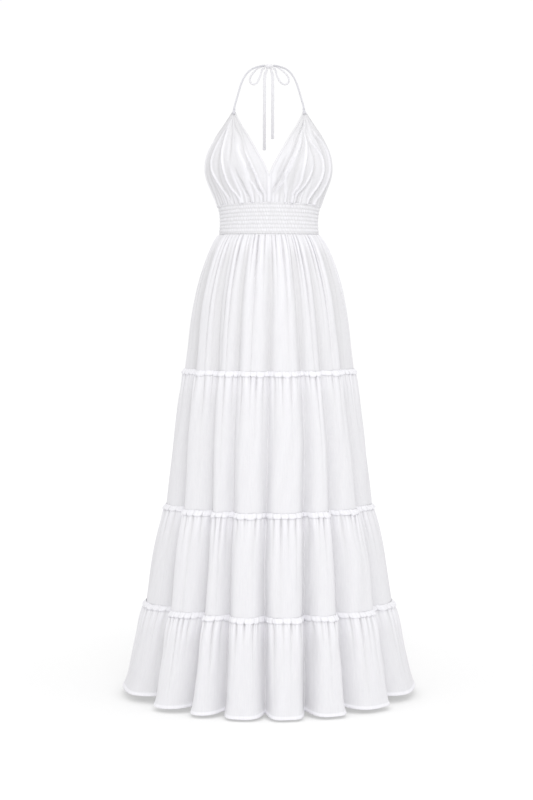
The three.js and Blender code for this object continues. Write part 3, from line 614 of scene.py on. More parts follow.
def cotton(finish):
    """Plain-woven cotton, washed and not pressed: matt, with a fine crossing weave, faint slubs
    and soft crinkles that run down the cloth. The weave is drawn several times as coarse as real
    thread, because real thread is too fine to show. Its colour is painted paler on ridges and
    folded edges and greyer in grooves: painted highlight and painted shade."""
    name, crinkle, woven_depth = COTTONS[finish]
    made = bpy.data.materials.get(name)
    if made:
        return made
    thread = bpy.context.scene.dress_sizes.thread_spacing
    made = bpy.data.materials.new(name)
    made.use_nodes = True
    tree = made.node_tree
    shader = tree.nodes["Principled BSDF"]
    cloth = add_node(tree, "ShaderNodeUVMap", {"uv_map": CLOTH_MAP})
    solid = add_node(tree, "ShaderNodeTexCoord")
    warp, weft = (
        add_node(
            tree, "ShaderNodeTexWave", {"bands_direction": direction},
            {"Vector": cloth.outputs["UV"], "Scale": WAVE_BAND / thread, "Distortion": 1.2,
             "Detail": 2.0, "Detail Scale": 0.6},
        )
        for direction in "XY"
    )
    weave = add_node(
        tree, "ShaderNodeMath", {"operation": "MULTIPLY"},
        {0: warp.outputs["Fac"], 1: weft.outputs["Fac"]},
    )
    stretched = add_node(
        tree, "ShaderNodeMapping", None,
        {"Vector": solid.outputs["Object"], "Scale": CRINKLE_STRETCH},
    )
    drawn_out = add_node(
        tree, "ShaderNodeMapping", None,
        {"Vector": cloth.outputs["UV"], "Scale": STREAK_STRETCH},
    )
    crinkles, slubs, streaks = (
        add_node(
            tree, "ShaderNodeTexNoise", None,
            {"Vector": place, "Scale": a_metre, "Detail": detail, "Roughness": roughness},
        )
        for place, a_metre, detail, roughness in (
            (stretched.outputs["Vector"], CRINKLES_A_METRE, 4.0, 0.55),
            (solid.outputs["Object"], SLUBS_A_METRE, 2.0, 0.6),
            (drawn_out.outputs["Vector"], STREAKS_A_METRE, 3.0, 0.6),
        )
    )
    # Each bump starts from the normals of the one before it
    normal = {}
    for height, strength, depth in (
        (crinkles.outputs["Fac"], 1.0, crinkle),
        (slubs.outputs["Fac"], 1.0, crinkle * SLUB_DEPTH),
        (weave.outputs["Value"], 0.3, thread * woven_depth),
    ):
        bump = add_node(
            tree, "ShaderNodeBump", None,
            {"Height": height, "Strength": strength, "Distance": depth, **normal},
        )
        normal = {"Normal": bump.outputs["Normal"]}
    # Painted shade in the grooves and painted highlight on the ridges, from the mesh's attribute
    painted_shading = add_node(tree, "ShaderNodeAttribute", {"attribute_name": PAINTED_SHADING})
    raised = add_node(
        tree, "ShaderNodeMapRange", None, {"Value": painted_shading.outputs["Fac"], "From Min": -1.0},
    )
    colour = np.array(linear(getattr(bpy.context.scene.dress_colours, finish))[:3])
    greyest, palest = (np.minimum(colour * shade, 1) for shade in THREAD_SHADES)
    thread_colour, painted_shading_colour = (
        add_node(
            tree, "ShaderNodeMix", {"data_type": "RGBA"},
            {"Factor": share, "A": (*low, 1), "B": (*high, 1)},
        )
        for share, low, high in (
            (streaks.outputs["Fac"], greyest, palest),
            (raised.outputs["Result"], *PAINTED_SHADE_AND_HIGHLIGHT),
        )
    )
    tinted = add_node(
        tree, "ShaderNodeVectorMath", {"operation": "MULTIPLY"},
        {0: thread_colour.outputs["Result"], 1: painted_shading_colour.outputs["Result"]},
    )
    tree.links.new(tinted.outputs["Vector"], shader.inputs["Base Color"])
    tree.links.new(normal["Normal"], shader.inputs["Normal"])
    shader.inputs["Roughness"].default_value = 0.9
    shader.inputs["Specular IOR Level"].default_value = 0.25
    shader.inputs["Sheen Weight"].default_value = 0.12
    shader.inputs["Sheen Roughness"].default_value = 0.6
    return made


# Distances in metres from the nape over which the floor's glow grows
GLOW_REACHES = (1.52, 2.2)
# How much of the light that falls on the floor it gives back to the dress
FLOOR_PALENESS = 0.95
# Grains of the floor's paper to a metre, about 2.5 mm wide, and their depth in metres
GRAINS_A_METRE = 400.0
GRAIN_DEPTH = 0.0002


def matt_floor(colour, glow):
    """A matt white floor. To the camera it is part a grey that the light falls on and part an even
    glow, as an exposure for white would show it, so that only the contact shadow shows on it."""
    made = bpy.data.materials.new("Matt white studio paper")
    made.use_nodes = True
    tree = made.node_tree
    shader = tree.nodes["Principled BSDF"]
    place = add_node(tree, "ShaderNodeTexCoord")
    grain = add_node(
        tree, "ShaderNodeTexNoise", None,
        {"Vector": place.outputs["Object"], "Scale": GRAINS_A_METRE, "Detail": 2.0},
    )
    bump = add_node(
        tree, "ShaderNodeBump", None,
        {"Height": grain.outputs["Fac"], "Strength": 0.1, "Distance": GRAIN_DEPTH},
    )
    tree.links.new(bump.outputs["Normal"], shader.inputs["Normal"])
    shader.inputs["Roughness"].default_value = 1.0
    shader.inputs["Specular IOR Level"].default_value = 0.0
    shader.inputs["Emission Color"].default_value = (1, 1, 1, 1)
    rays = add_node(tree, "ShaderNodeLightPath")
    lit = add_node(
        tree, "ShaderNodeMix", {"data_type": "RGBA"},
        {"Factor": rays.outputs["Is Camera Ray"], "A": (*[FLOOR_PALENESS] * 3, 1), "B": linear(colour)},
    )
    tree.links.new(lit.outputs["Result"], shader.inputs["Base Color"])
    away = add_node(
        tree, "ShaderNodeVectorMath", {"operation": "LENGTH"}, {"Vector": place.outputs["Object"]},
    )
    glowing = add_node(
        tree, "ShaderNodeMapRange", None,
        {"Value": away.outputs["Value"], "From Min": GLOW_REACHES[0], "From Max": GLOW_REACHES[1],
         "To Min": glow[0], "To Max": glow[1]},
    )
    seen = add_node(
        tree, "ShaderNodeMath", {"operation": "MULTIPLY"},
        {0: rays.outputs["Is Camera Ray"], 1: glowing.outputs["Result"]},
    )
    tree.links.new(seen.outputs["Value"], shader.inputs["Emission Strength"])
    return made


def along_route(route, step, mirror=1):
    """A smooth line through a route's points, in millimetres at even distances. Each coordinate is
    a curve over the square roots of the distances between the points."""
    points = np.array(route) / MM * (mirror, 1, 1)
    gaps = np.sqrt(np.linalg.norm(np.diff(points, axis=0), axis=1))
    places = np.concatenate([[0], np.cumsum(gaps)])
    fine = np.linspace(0, places[-1], ROUTE_POINTS)
    line = np.stack([curve(places, points[:, i], fine) for i in range(3)], -1)
    length = running_length(line, 0)
    count = int(round(length[-1] / step)) + 1
    even = np.linspace(0, length[-1], count)
    return np.stack([np.interp(even, length, line[:, i]) for i in range(3)], -1), even


def flat_tube(line, width, thickness, sides=16, squareness=0.7):
    """A flattened tube along a line: each section is a rounded oblong, width along the level
    direction across the line and thickness across that. Width and thickness may vary along it."""
    along = np.gradient(line, axis=0)
    along /= np.linalg.norm(along, axis=1, keepdims=True)
    wide = np.cross(along, (0.0, -1.0, 0.0))
    wide /= np.linalg.norm(wide, axis=1, keepdims=True)
    thick = np.cross(wide, along)
    angle = -2 * np.pi * np.arange(sides) / sides
    x = np.sign(np.cos(angle)) * np.abs(np.cos(angle)) ** squareness / 2
    y = np.sign(np.sin(angle)) * np.abs(np.sin(angle)) ** squareness / 2
    width = np.broadcast_to(width, len(line))[:, None, None]
    thickness = np.broadcast_to(thickness, len(line))[:, None, None]
    section = wide[:, None] * x[None, :, None] * width + thick[:, None] * y[None, :, None] * thickness
    return line[:, None] + section


def ripples(along, waves_along):
    """A cord's slight unevenness: 1 plus sines of the distance along it, each of its own size, its
    length over 2 pi and its start."""
    return sum((size * np.sin(along / length + start) for size, length, start in waves_along), 1)


def add_tube(part, tube, finish, has_solid=True, painted_shading=None):
    """Puts a closed tube of folded cotton into the scene, in place of its solid if it has one."""
    name = f"{part}_cotton"
    mesh = grid_mesh(name, tube, closed_columns=True, capped=True, painted_shading=painted_shading)
    return add_piece(name, mesh, cotton(finish), (part,) if has_solid else ())


# The lights: name, place, what each points at and the width of its square
LIGHTS = (
    ("Key light", (0.3, -4.2, 1.9), (0.0, -0.1, -0.8), 2.6),
    ("Top light", (0.3, -0.6, 1.9), (0.0, -0.1, -0.9), 2.4),
)
# Half the width of the floor, in metres
FLOOR_HALF = 9.0


class DRESS_OT_stage(bpy.types.Operator):
    """Sets the camera, the pale floor and the soft studio light"""

    bl_idname = "dress.stage"
    bl_label = "Stage"

    def execute(self, context):
        stage = context.scene.dress_stage
        camera = bpy.data.objects.new("Camera", bpy.data.cameras.new("Camera"))
        camera.location = stage.camera_place
        camera.rotation_euler = (np.pi / 2 - stage.camera_tilt, 0, 0)
        camera.data.lens = stage.camera_lens
        camera.data.sensor_width = 36
        context.scene.collection.objects.link(camera)
        context.scene.camera = camera
        self.add_floor(context, stage)
        self.add_lights(context, stage)
        context.scene.view_settings.view_transform = "Standard"
        return {"FINISHED"}

    def add_floor(self, context, stage):
        """A square of pale paper a little below the hem."""
        level = CAD_BOX[0].z - stage.floor_gap
        mesh = bpy.data.meshes.new("Floor")
        signs = ((-1, -1), (1, -1), (1, 1), (-1, 1))
        corners = [(x * FLOOR_HALF, y * FLOOR_HALF, level) for x, y in signs]
        mesh.from_pydata(corners, [], [(0, 1, 2, 3)])
        mesh.materials.append(matt_floor(context.scene.dress_colours.floor, stage.floor_glow))
        floor = bpy.data.objects.new("Floor", mesh)
        context.scene.collection.objects.link(floor)

    def add_lights(self, context, stage):
        """Even white light from all round, a large light in front and one overhead. Each is turned
        by two angles: down from straight below to its target, and round to face it."""
        world = bpy.data.worlds.new("Studio")
        world.use_nodes = True
        rays = add_node(world.node_tree, "ShaderNodeLightPath")
        strength = add_node(
            world.node_tree, "ShaderNodeMix", None,
            {"Factor": rays.outputs["Is Camera Ray"], "A": stage.sky, "B": stage.backdrop},
        )
        background = world.node_tree.nodes["Background"]
        world.node_tree.links.new(strength.outputs["Result"], background.inputs["Strength"])
        background.inputs["Color"].default_value = (1, 1, 1, 1)
        context.scene.world = world
        for (name, place, target, size), power in zip(LIGHTS, (stage.key, stage.top)):
            data = bpy.data.lights.new(name, "AREA")
            data.shape = "SQUARE"
            data.size = size
            data.energy = power
            light = bpy.data.objects.new(name, data)
            light.location = place
            aim = np.array(target) - np.array(place)
            flat = np.hypot(aim[0], aim[1])
            light.rotation_euler = (np.arctan2(flat, -aim[2]), 0, np.arctan2(-aim[0], aim[1]))
            context.scene.collection.objects.link(light)


# Thickness of the folded tie and of the straps, in millimetres
TIE_THICKNESS = 2.2
STRAP_THICKNESS = 3.0
# Unevenness of the cords: size as a share of the width, length over 2 pi in millimetres, and start
LOOP_RIPPLES = ((0.06, 4.3, 0), (0.05, 1.9, 1))
TIE_RIPPLES = ((0.03, 9.0, 0), (0.02, 3.7, 2))
STRAP_RIPPLES = ((0.03, 11.0, 0), (0.02, 4.1, 0))
# How far from a tie's tip its stitches lie and over how far they draw it in, how far from the knot
# it opens to its full width, and the length of its cut edge, in millimetres
TIP_STITCH = 5.5
STITCH_REACH = 0.9
OPENS_OVER = 9.0
CUT_EDGE = 0.5
# How much narrower a tie is at the knot, at its stitches and at its cut edge, as shares of its
# width; and how much thicker at the knot and thinner at its stitches
PINCHED = {"knot": 0.34, "stitches": 0.06, "edge": 0.12}
THICKER_AT_KNOT = 0.5
THINNER_AT_STITCHES = 0.5


class DRESS_OT_cords(bpy.types.Operator):
    """Makes the two loops of the bow and the two flat ends of the tie"""

    bl_idname = "dress.cords"
    bl_label = "Bow and tie ends"

    def execute(self, context):
        sizes = context.scene.dress_sizes
        for side in ("left", "right"):
            self.add_loop(side, sizes.loop_width / MM)
            self.add_end(side, sizes.tie_width / MM)
        return {"FINISHED"}

    def add_loop(self, side, width):
        """A loop of the bow: as its width rises and falls a little, its thickness falls and rises."""
        line, along = along_route(LOOP_ROUTES[side], ROUTE_STEPS["loop"])
        soft = ripples(along, LOOP_RIPPLES)
        tube = flat_tube(line, width * soft, TIE_THICKNESS * (2 - soft))
        piece = add_tube(f"bow_loop_{side}", tube, "tie")

    def add_end(self, side, width):
        """A flat tie with a stitched tip: it is drawn in along the stitches and full beyond them."""
        line, along = along_route(TIE_ROUTES[side], ROUTE_STEPS["tie"])
        from_tip = along[-1] - along
        drawn_in = np.exp(-(((from_tip - TIP_STITCH) / STITCH_REACH) ** 2))
        leaving_knot = np.exp(-along / OPENS_OVER)
        opened = 1 - PINCHED["knot"] * leaving_knot - PINCHED["stitches"] * drawn_in
        cut = 1 - PINCHED["edge"] * (from_tip < CUT_EDGE)
        doubled = 1 + THICKER_AT_KNOT * leaving_knot
        pressed = 1 - THINNER_AT_STITCHES * drawn_in
        tube = flat_tube(
            line, width * ripples(along, TIE_RIPPLES) * opened * cut, TIE_THICKNESS * doubled * pressed,
            sides=20, squareness=0.5,
        )
        piece = add_tube(f"tie_end_{side}", tube, "tie")


# The knot's creases: depth as a share of its radius, how many lie round it, and how far each turns
# along it. Depth of its waist and how far the waist spreads, as shares of its radius and half width
KNOT_CREASES = ((0.05, 7, 3), (0.03, 11, -4))
KNOT_WAIST = 0.2
KNOT_WAIST_SPREAD = 0.42
# The strap wound round it: where its edge ends and starts, as shares of the knot's half width, how
# far its edge wanders, how far it stands out, and the most that the whole may
WRAP_EDGE = (0.36, 0.28)
WRAP_WANDERS = 0.06
WRAP_HEIGHT = 0.17
KNOT_LIMIT = 1.04


class DRESS_OT_straps(bpy.types.Operator):
    """Makes the halter straps and the knot at the nape"""

    bl_idname = "dress.straps"
    bl_label = "Straps and knot"

    def execute(self, context):
        width = context.scene.dress_sizes.strap_width / MM
        for side, mirror in (("left", -1), ("right", 1)):
            line, along = along_route(STRAP_ROUTE, ROUTE_STEPS["strap"], mirror)
            tube = flat_tube(line, width * ripples(along, STRAP_RIPPLES), STRAP_THICKNESS)
            add_tube(f"neck_strap_{side}", tube, "strap")
        self.add_knot()
        return {"FINISHED"}

    def add_knot(self):
        """The knot's radius is widest on both sides of the strap that is wound round its middle,
        and small creases run along it and fade at that strap. Each crease is a sine round the knot
        that turns a little along it."""
        along = np.linspace(-1, 1, 61)
        angle = np.linspace(0, 2 * np.pi, 72, endpoint=False)
        half, round_it = np.meshgrid(along, angle, indexing="ij")
        bulge = np.sqrt(np.maximum(1 - np.abs(half) ** 3.2, 0))
        wrap = smoothstep(*WRAP_EDGE, np.abs(half + WRAP_WANDERS * np.sin(round_it)))
        waist = 1 - KNOT_WAIST * np.exp(-((half / KNOT_WAIST_SPREAD) ** 2))
        tucks = sum(deep * np.sin(count * round_it + turn * half) for deep, count, turn in KNOT_CREASES)
        radius = KNOT_RADIUS * (bulge * (waist + tucks * (1 - wrap)) + WRAP_HEIGHT * wrap)
        radius = np.minimum(radius, KNOT_RADIUS * KNOT_LIMIT)
        points = np.stack([
            KNOT_CENTRE[0] + KNOT_HALF * half,
            KNOT_CENTRE[1] - radius * np.cos(round_it),
            KNOT_CENTRE[2] - radius * np.sin(round_it),
        ], -1)
        add_tube("neck_knot", points[1:-1], "tie")


# Creases of the cups: how high a ridge stands, or a groove lies if less than 0, in millimetres; its
# widths towards the neckline and away from it; and its route, as pairs of height above the
# waistband and place across the cup
CUP_CREASES = {
    "left": (
        (5.6, 2.8, 3.6, ((0.04, 0.51), (0.23, 0.59), (0.43, 0.67), (0.68, 0.60), (0.85, 0.55))),
        (6.0, 2.6, 3.6, ((0.05, 0.36), (0.2, 0.43), (0.42, 0.47), (0.72, 0.47), (0.89, 0.5))),
        (4.6, 3.4, 9, ((0.06, 0.2), (0.31, 0.22), (0.45, 0.21), (0.59, 0.23))),
        (4.4, 2.6, 4, ((0.11, 0.05), (0.25, 0.11), (0.38, 0.14), (0.54, 0.15))),
        (3.4, 2.6, 4, ((0.1, 0.33), (0.35, 0.37))),
        (3.2, 2.6, 4, ((0.06, 0.1), (0.29, 0.2))),
        (4.0, 3.0, 5, ((0.05, 0.8), (0.4, 0.84), (0.7, 0.78))),
        (-3.6, 7, 6, ((0.07, 0.51), (0.18, 0.55), (0.41, 0.575), (0.7, 0.53), (0.9, 0.54))),
        (-3.6, 5, 4, ((0.5, 0.37), (0.6, 0.35), (0.72, 0.36), (0.84, 0.39), (0.93, 0.46))),
        (-3.4, 6, 4, ((0.29, 0.16), (0.4, 0.17), (0.61, 0.17), (0.73, 0.18), (0.87, 0.31))),
        (-5.4, 4, 2.4, ((0.06, 0.24), (0.15, 0.27), (0.25, 0.29), (0.33, 0.32))),
        (-4.2, 3.4, 2.4, ((0.08, 0.07), (0.18, 0.12), (0.31, 0.15))),
        (-3.6, 7, 6, ((0.1, 0.68), (0.4, 0.755), (0.75, 0.7))),
    ),
    "right": (
        (6.0, 2.4, 4, ((0.09, 0.04), (0.25, 0.14), (0.38, 0.185), (0.51, 0.195), (0.67, 0.23))),
        (6.4, 3.2, 2.8, ((0.1, 0.28), (0.25, 0.33), (0.38, 0.33), (0.54, 0.32), (0.7, 0.32))),
        (4.2, 3.0, 4, ((0.06, 0.19), (0.35, 0.16))),
        (6.2, 3.6, 2.8, ((0.04, 0.5), (0.16, 0.55), (0.28, 0.6), (0.41, 0.61), (0.55, 0.55), (0.67, 0.42))),
        (5.8, 3.4, 2.8, ((0.02, 0.63), (0.24, 0.72), (0.51, 0.73), (0.65, 0.69), (0.76, 0.6))),
        (4.2, 3.0, 4, ((0.06, 0.3), (0.22, 0.39), (0.36, 0.44))),
        (-5.4, 5.0, 2.4, ((0.1, 0.0), (0.31, 0.115), (0.54, 0.15), (0.75, 0.2), (0.9, 0.31))),
        (-4.0, 7, 6, ((0.18, 0.24), (0.4, 0.255), (0.6, 0.26), (0.8, 0.32))),
        (-4.4, 6, 7, ((0.3, 0.5), (0.5, 0.47), (0.6, 0.42), (0.72, 0.38), (0.87, 0.42))),
        (-4.2, 6, 5, ((0.2, 0.64), (0.4, 0.67), (0.65, 0.62), (0.77, 0.55))),
        (-4.6, 3.0, 4, ((0.1, 0.36), (0.22, 0.43), (0.33, 0.47))),
        (-2.8, 6, 6, ((0.29, 0.08), (0.42, 0.09), (0.5, 0.09))),
        (-4.4, 3.0, 4, ((0.08, 0.565), (0.2, 0.61), (0.33, 0.65))),
        (-4.0, 6, 6, ((0.1, 0.8), (0.4, 0.83), (0.7, 0.76))),
    ),
}
# Short gathers above the waistband and below the point: how many, height in millimetres, and the
# range of lengths over which they fade, as shares of the cup's height
CUP_GATHERS = {"band": (19, 4.4, (0.07, 0.22)), "point": (7, 3.2, (0.14, 0.34))}
# How uneven their widths and heights are, as shares
CUP_GATHER_WIDTHS = 0.4
CUP_GATHER_HEIGHTS = (0.5, 1.2)
# How many millimetres across a cup is where its creases and its short gathers come to full height
CREASE_WIDTH = 90
SHORT_GATHER_WIDTH = 60
# Distances from a cup's edges at which its creases start and are full, in millimetres
PLAIN_EDGE = 5.2
FULL_FOLD_EDGE = 15.6
# Rows down a cup and columns across it, and the columns of its edges
CUP_GRID = (131, 151)
EDGE_COLUMNS = 9
# How far a cup's cloth reaches under its edges and how far they are raised, in millimetres, and
# their thickness in metres
EDGE_LAP = 1.0
EDGE_RAISE = 1.1
EDGE_THICKNESS = 0.0018
# How much of the creases' relief is painted on a cup as shade and highlight, and how much painted
# shade greys it towards its point, its outer side and the upper part of its neckline
CUP_PAINTED_SHADING = {"creases": 0.85, "point": 0.65, "side": 0.5, "neckline": 0.45}
# The tab at a cup's point: its two ends, its width and thickness at the foot, and how much less
# they are at the head
TAB_FOOT = (81.2, -148.5, -122.5)
TAB_HEAD = (79.6, -142.4, -110.0)
TAB_SIZE = (7.2, 4.4)
TAB_TAPER = (2.2, 0.8)
# The strip at the centre front: its top, how far it stands in front of the cups, its width, how
# much narrower it is at the top, its thickness, and its painted highlight, on the relief's scale
CENTRE_TOP_Z = -265.0
CENTRE_FORWARD = 1.2
CENTRE_WIDTH = 6.4
CENTRE_TAPER = 2.0
CENTRE_THICKNESS = 2.4
CENTRE_PAINTED_HIGHLIGHT = 0.45
# The band's top edge as an ellipse: half width, half depth and middle
BAND_TOP_RING = (119, 88, -90)
# How far below its own top edge the band hides the cups' feet, and from how far up they curve
FOOT_LAP = 1.2
FOOT_REACH = 60


def cup_plain(turn, z):
    """A cup's plain surface: the bust's ring, brought forward where the bust is fullest."""
    angle = np.radians(turn)
    wide, deep, middle = (curve(-CUP_RINGS[:, 0], CUP_RINGS[:, i], -z) for i in (1, 2, 3))
    x = wide * np.sin(angle)
    across = (x - CUP_ROUND["x"]) / CUP_ROUND["spread_x"]
    down = (z - CUP_ROUND["z"]) / CUP_ROUND["spread_z"]
    forward = CUP_ROUND["depth"] * np.maximum(np.cos(angle), 0) * np.exp(-(across ** 2) - down ** 2)
    return np.stack([x, middle - deep * np.cos(angle) - forward, z + 0 * angle], -1)


def cup_strip(z, start, end, samples):
    """The plain points of a strip of a cup between two distances from the neckline, which are
    functions of the cloth's length at each level. Gives them with their distances and lengths."""
    neck = read(CUP_RINGS, 4, z)
    first = np.degrees(np.arcsin(np.minimum(neck / curve(-CUP_RINGS[:, 0], CUP_RINGS[:, 1], -z), 1)))
    last = read(CUP_RINGS, 5, z)
    turn = first[:, None] + (last - first)[:, None] * np.linspace(0, 1, CUP_POINTS)
    plain = cup_plain(turn, np.broadcast_to(z[:, None], turn.shape))
    length = running_length(plain, 1)
    whole = length[:, -1]
    share = np.linspace(0, 1, samples)
    distance = start(whole)[:, None] + (end(whole) - start(whole))[:, None] * share
    points = np.stack([
        np.stack([np.interp(distance[k], length[k], plain[k, :, axis]) for axis in range(3)], -1)
        for k in range(len(z))
    ])
    return points, distance, whole[:, None]


def cup_lift(side, distance, whole, z):
    """How far the creases lift a cup's cloth: each is height x exp(-|distance / width|^1.3), with
    the width of its side, fading at its ends. Short gathers above the waistband and below the
    point are added to them."""
    height = np.clip((z - BAND_TOP_SIDE_Z) / (APEX_Z - BAND_TOP_SIDE_Z), 0, 1)[:, None]
    lift = np.zeros_like(distance)
    narrow = np.minimum(1, whole / CREASE_WIDTH)
    for raised, before, after, route in CUP_CREASES[side]:
        heights, places = np.array(route).T
        away = distance - curve(heights, places, height) * whole
        width = np.where(away < 0, before, after) * narrow
        fade = smoothstep(heights[-1] + 0.1, heights[-1] - 0.06, height)
        if heights[0] > 0.12:
            fade = fade * smoothstep(heights[0] - 0.08, heights[0] + 0.08, height)
        lift += raised * fade * narrow * np.exp(-np.abs(away / width) ** 1.3)
    rng = np.random.default_rng(len(side))
    for end, from_end in (("band", height), ("point", 1 - height)):
        count, tall, reach = CUP_GATHERS[end]
        edges = uneven_edges(rng, count, CUP_GATHER_WIDTHS)
        puff, across = across_puffs(distance / whole, edges)
        reaches = rng.uniform(*reach, count)[puff]
        own = rng.uniform(*CUP_GATHER_HEIGHTS, count)[puff]
        fade = np.exp(-((from_end / reaches) ** 1.5))
        lift += tall * own * (dome(across) - 0.75) * fade * np.minimum(1, whole / SHORT_GATHER_WIDTH)
    edge = np.minimum(distance, whole - distance)
    return lift * smoothstep(PLAIN_EDGE, FULL_FOLD_EDGE, edge)


def neckline_width(whole):
    """The neckline hem's width where a cup is whole millimetres across."""
    return np.minimum(NECKLINE_WIDTH, whole * EDGE_SHARE)


def binding_width(whole):
    """The side binding's width where a cup is whole millimetres across."""
    return np.minimum(BINDING_WIDTH, whole * EDGE_SHARE)


class DRESS_OT_bodice(bpy.types.Operator):
    """Makes the gathered cups with their neckline hems and side bindings"""

    bl_idname = "dress.bodice"
    bl_label = "Bodice"

    def execute(self, context):
        thickness = context.scene.dress_sizes.cloth_thickness
        for side, mirror in (("left", -1), ("right", 1)):
            z = np.linspace(APEX_Z, BAND_TOP_SIDE_Z, CUP_GRID[0])
            cloth = self.strip(
                side, mirror, z, CUP_GRID[1], 0.0,
                lambda whole: neckline_width(whole) - EDGE_LAP,
                lambda whole: whole - binding_width(whole) + EDGE_LAP,
            )
            cup = self.add_cloth(f"cup_{side}", cloth, thickness, "cloth", CLOTH_SLOT)
            edges = (
                ("neckline", lambda whole: 0 * whole, neckline_width),
                ("side_binding", lambda whole: whole - binding_width(whole), lambda whole: whole),
            )
            for name, start, end in edges:
                strip = self.strip(side, mirror, z, EDGE_COLUMNS, EDGE_RAISE, start, end)
                self.add_cloth(f"{name}_{side}", strip, EDGE_THICKNESS, "binding", BINDING_SLOT)
            self.add_tab(side, mirror)
        self.add_centre()
        return {"FINISHED"}

    def add_tab(self, side, mirror):
        """A small folded tab that holds the gathered point of a cup and the strap's end."""
        foot = np.array(TAB_FOOT) * (mirror, 1, 1)
        head = np.array(TAB_HEAD) * (mirror, 1, 1)
        share = np.linspace(0, 1, 15)
        line = foot + (head - foot) * share[:, None]
        width, thickness = (
            size - taper * share[::-1] for size, taper in zip(TAB_SIZE, TAB_TAPER)
        )
        tube = flat_tube(line[::-1], width, thickness, squareness=0.6)
        # The tab takes the straps' darker colour, which is painted shade
        return add_tube(f"point_tab_{side}", tube, "strap", has_solid=False)

    def add_centre(self):
        """The lapped neckline hems, stitched together at the centre front down to the waistband."""
        z = np.linspace(CENTRE_TOP_Z, BAND_TOP_SIDE_Z + BAND_TOP_RISE_FRONT, 40)
        line = cup_plain(np.zeros_like(z), z) + (0, -CENTRE_FORWARD, 0)
        width = CENTRE_WIDTH - CENTRE_TAPER * smoothstep(z[6], z[0], z)
        tube = flat_tube(line, width, CENTRE_THICKNESS, squareness=0.6)
        # Painted highlight along the whole strip
        painted_paleness = np.full(tube.shape[0] * tube.shape[1] + 2, CENTRE_PAINTED_HIGHLIGHT)
        add_tube("centre_front", tube, "binding", has_solid=False, painted_shading=painted_paleness)

    def strip(self, side, mirror, z, samples, raise_by, start, end):
        """A strip of the cup with its creases, raised evenly, on the wearer's own side. Its foot
        follows the waistband's top edge."""
        points, distance, whole = cup_strip(z, start, end, samples)
        out = level_outward(points, closed=False)
        lift = cup_lift(side, distance, whole, z)
        across = distance / whole
        # Painted shade towards the cup's point, its outer side and the upper neckline, over the painted
        # shade and highlight of its creases
        painted_shade_at_point = smoothstep(-220, -135, z)[:, None]
        painted_shade_at_neckline = smoothstep(0.5, 0.1, across) * smoothstep(-262, -190, z)[:, None]
        painted_shading = painted_shading_of(lift, whole.mean() / samples, "edge") * CUP_PAINTED_SHADING["creases"]
        painted_shading = painted_shading - CUP_PAINTED_SHADING["point"] * painted_shade_at_point
        painted_shading = painted_shading - CUP_PAINTED_SHADING["side"] * smoothstep(0.42, 0.85, across)
        painted_shading = painted_shading - CUP_PAINTED_SHADING["neckline"] * painted_shade_at_neckline
        rounding = raise_by * np.sqrt(np.maximum(1 - np.linspace(-0.9, 0.9, samples) ** 2, 0))
        points = points + out * (lift + rounding)[..., None]
        foot = smoothstep(BAND_TOP_SIDE_Z + FOOT_REACH, BAND_TOP_SIDE_Z, z)[:, None]
        wide, deep, middle = BAND_TOP_RING
        turn = np.degrees(np.arctan2(points[..., 0] / wide, (middle - points[..., 1]) / deep))
        points[..., 2] += (band_top(turn) - BAND_TOP_SIDE_Z - FOOT_LAP) * foot
        points[..., 0] *= mirror
        return points[:, ::mirror], painted_shading[:, ::mirror]

    def add_cloth(self, part, cloth, thickness, finish, slot):
        """Makes a piece of cloth from its points and relief, in place of its solid."""
        points, painted_shading = cloth
        name = f"{part}_cotton"
        mesh = grid_mesh(name, points, painted_shading=painted_shading)
        return thicken(add_piece(name, mesh, cotton(finish), (part,)), thickness)


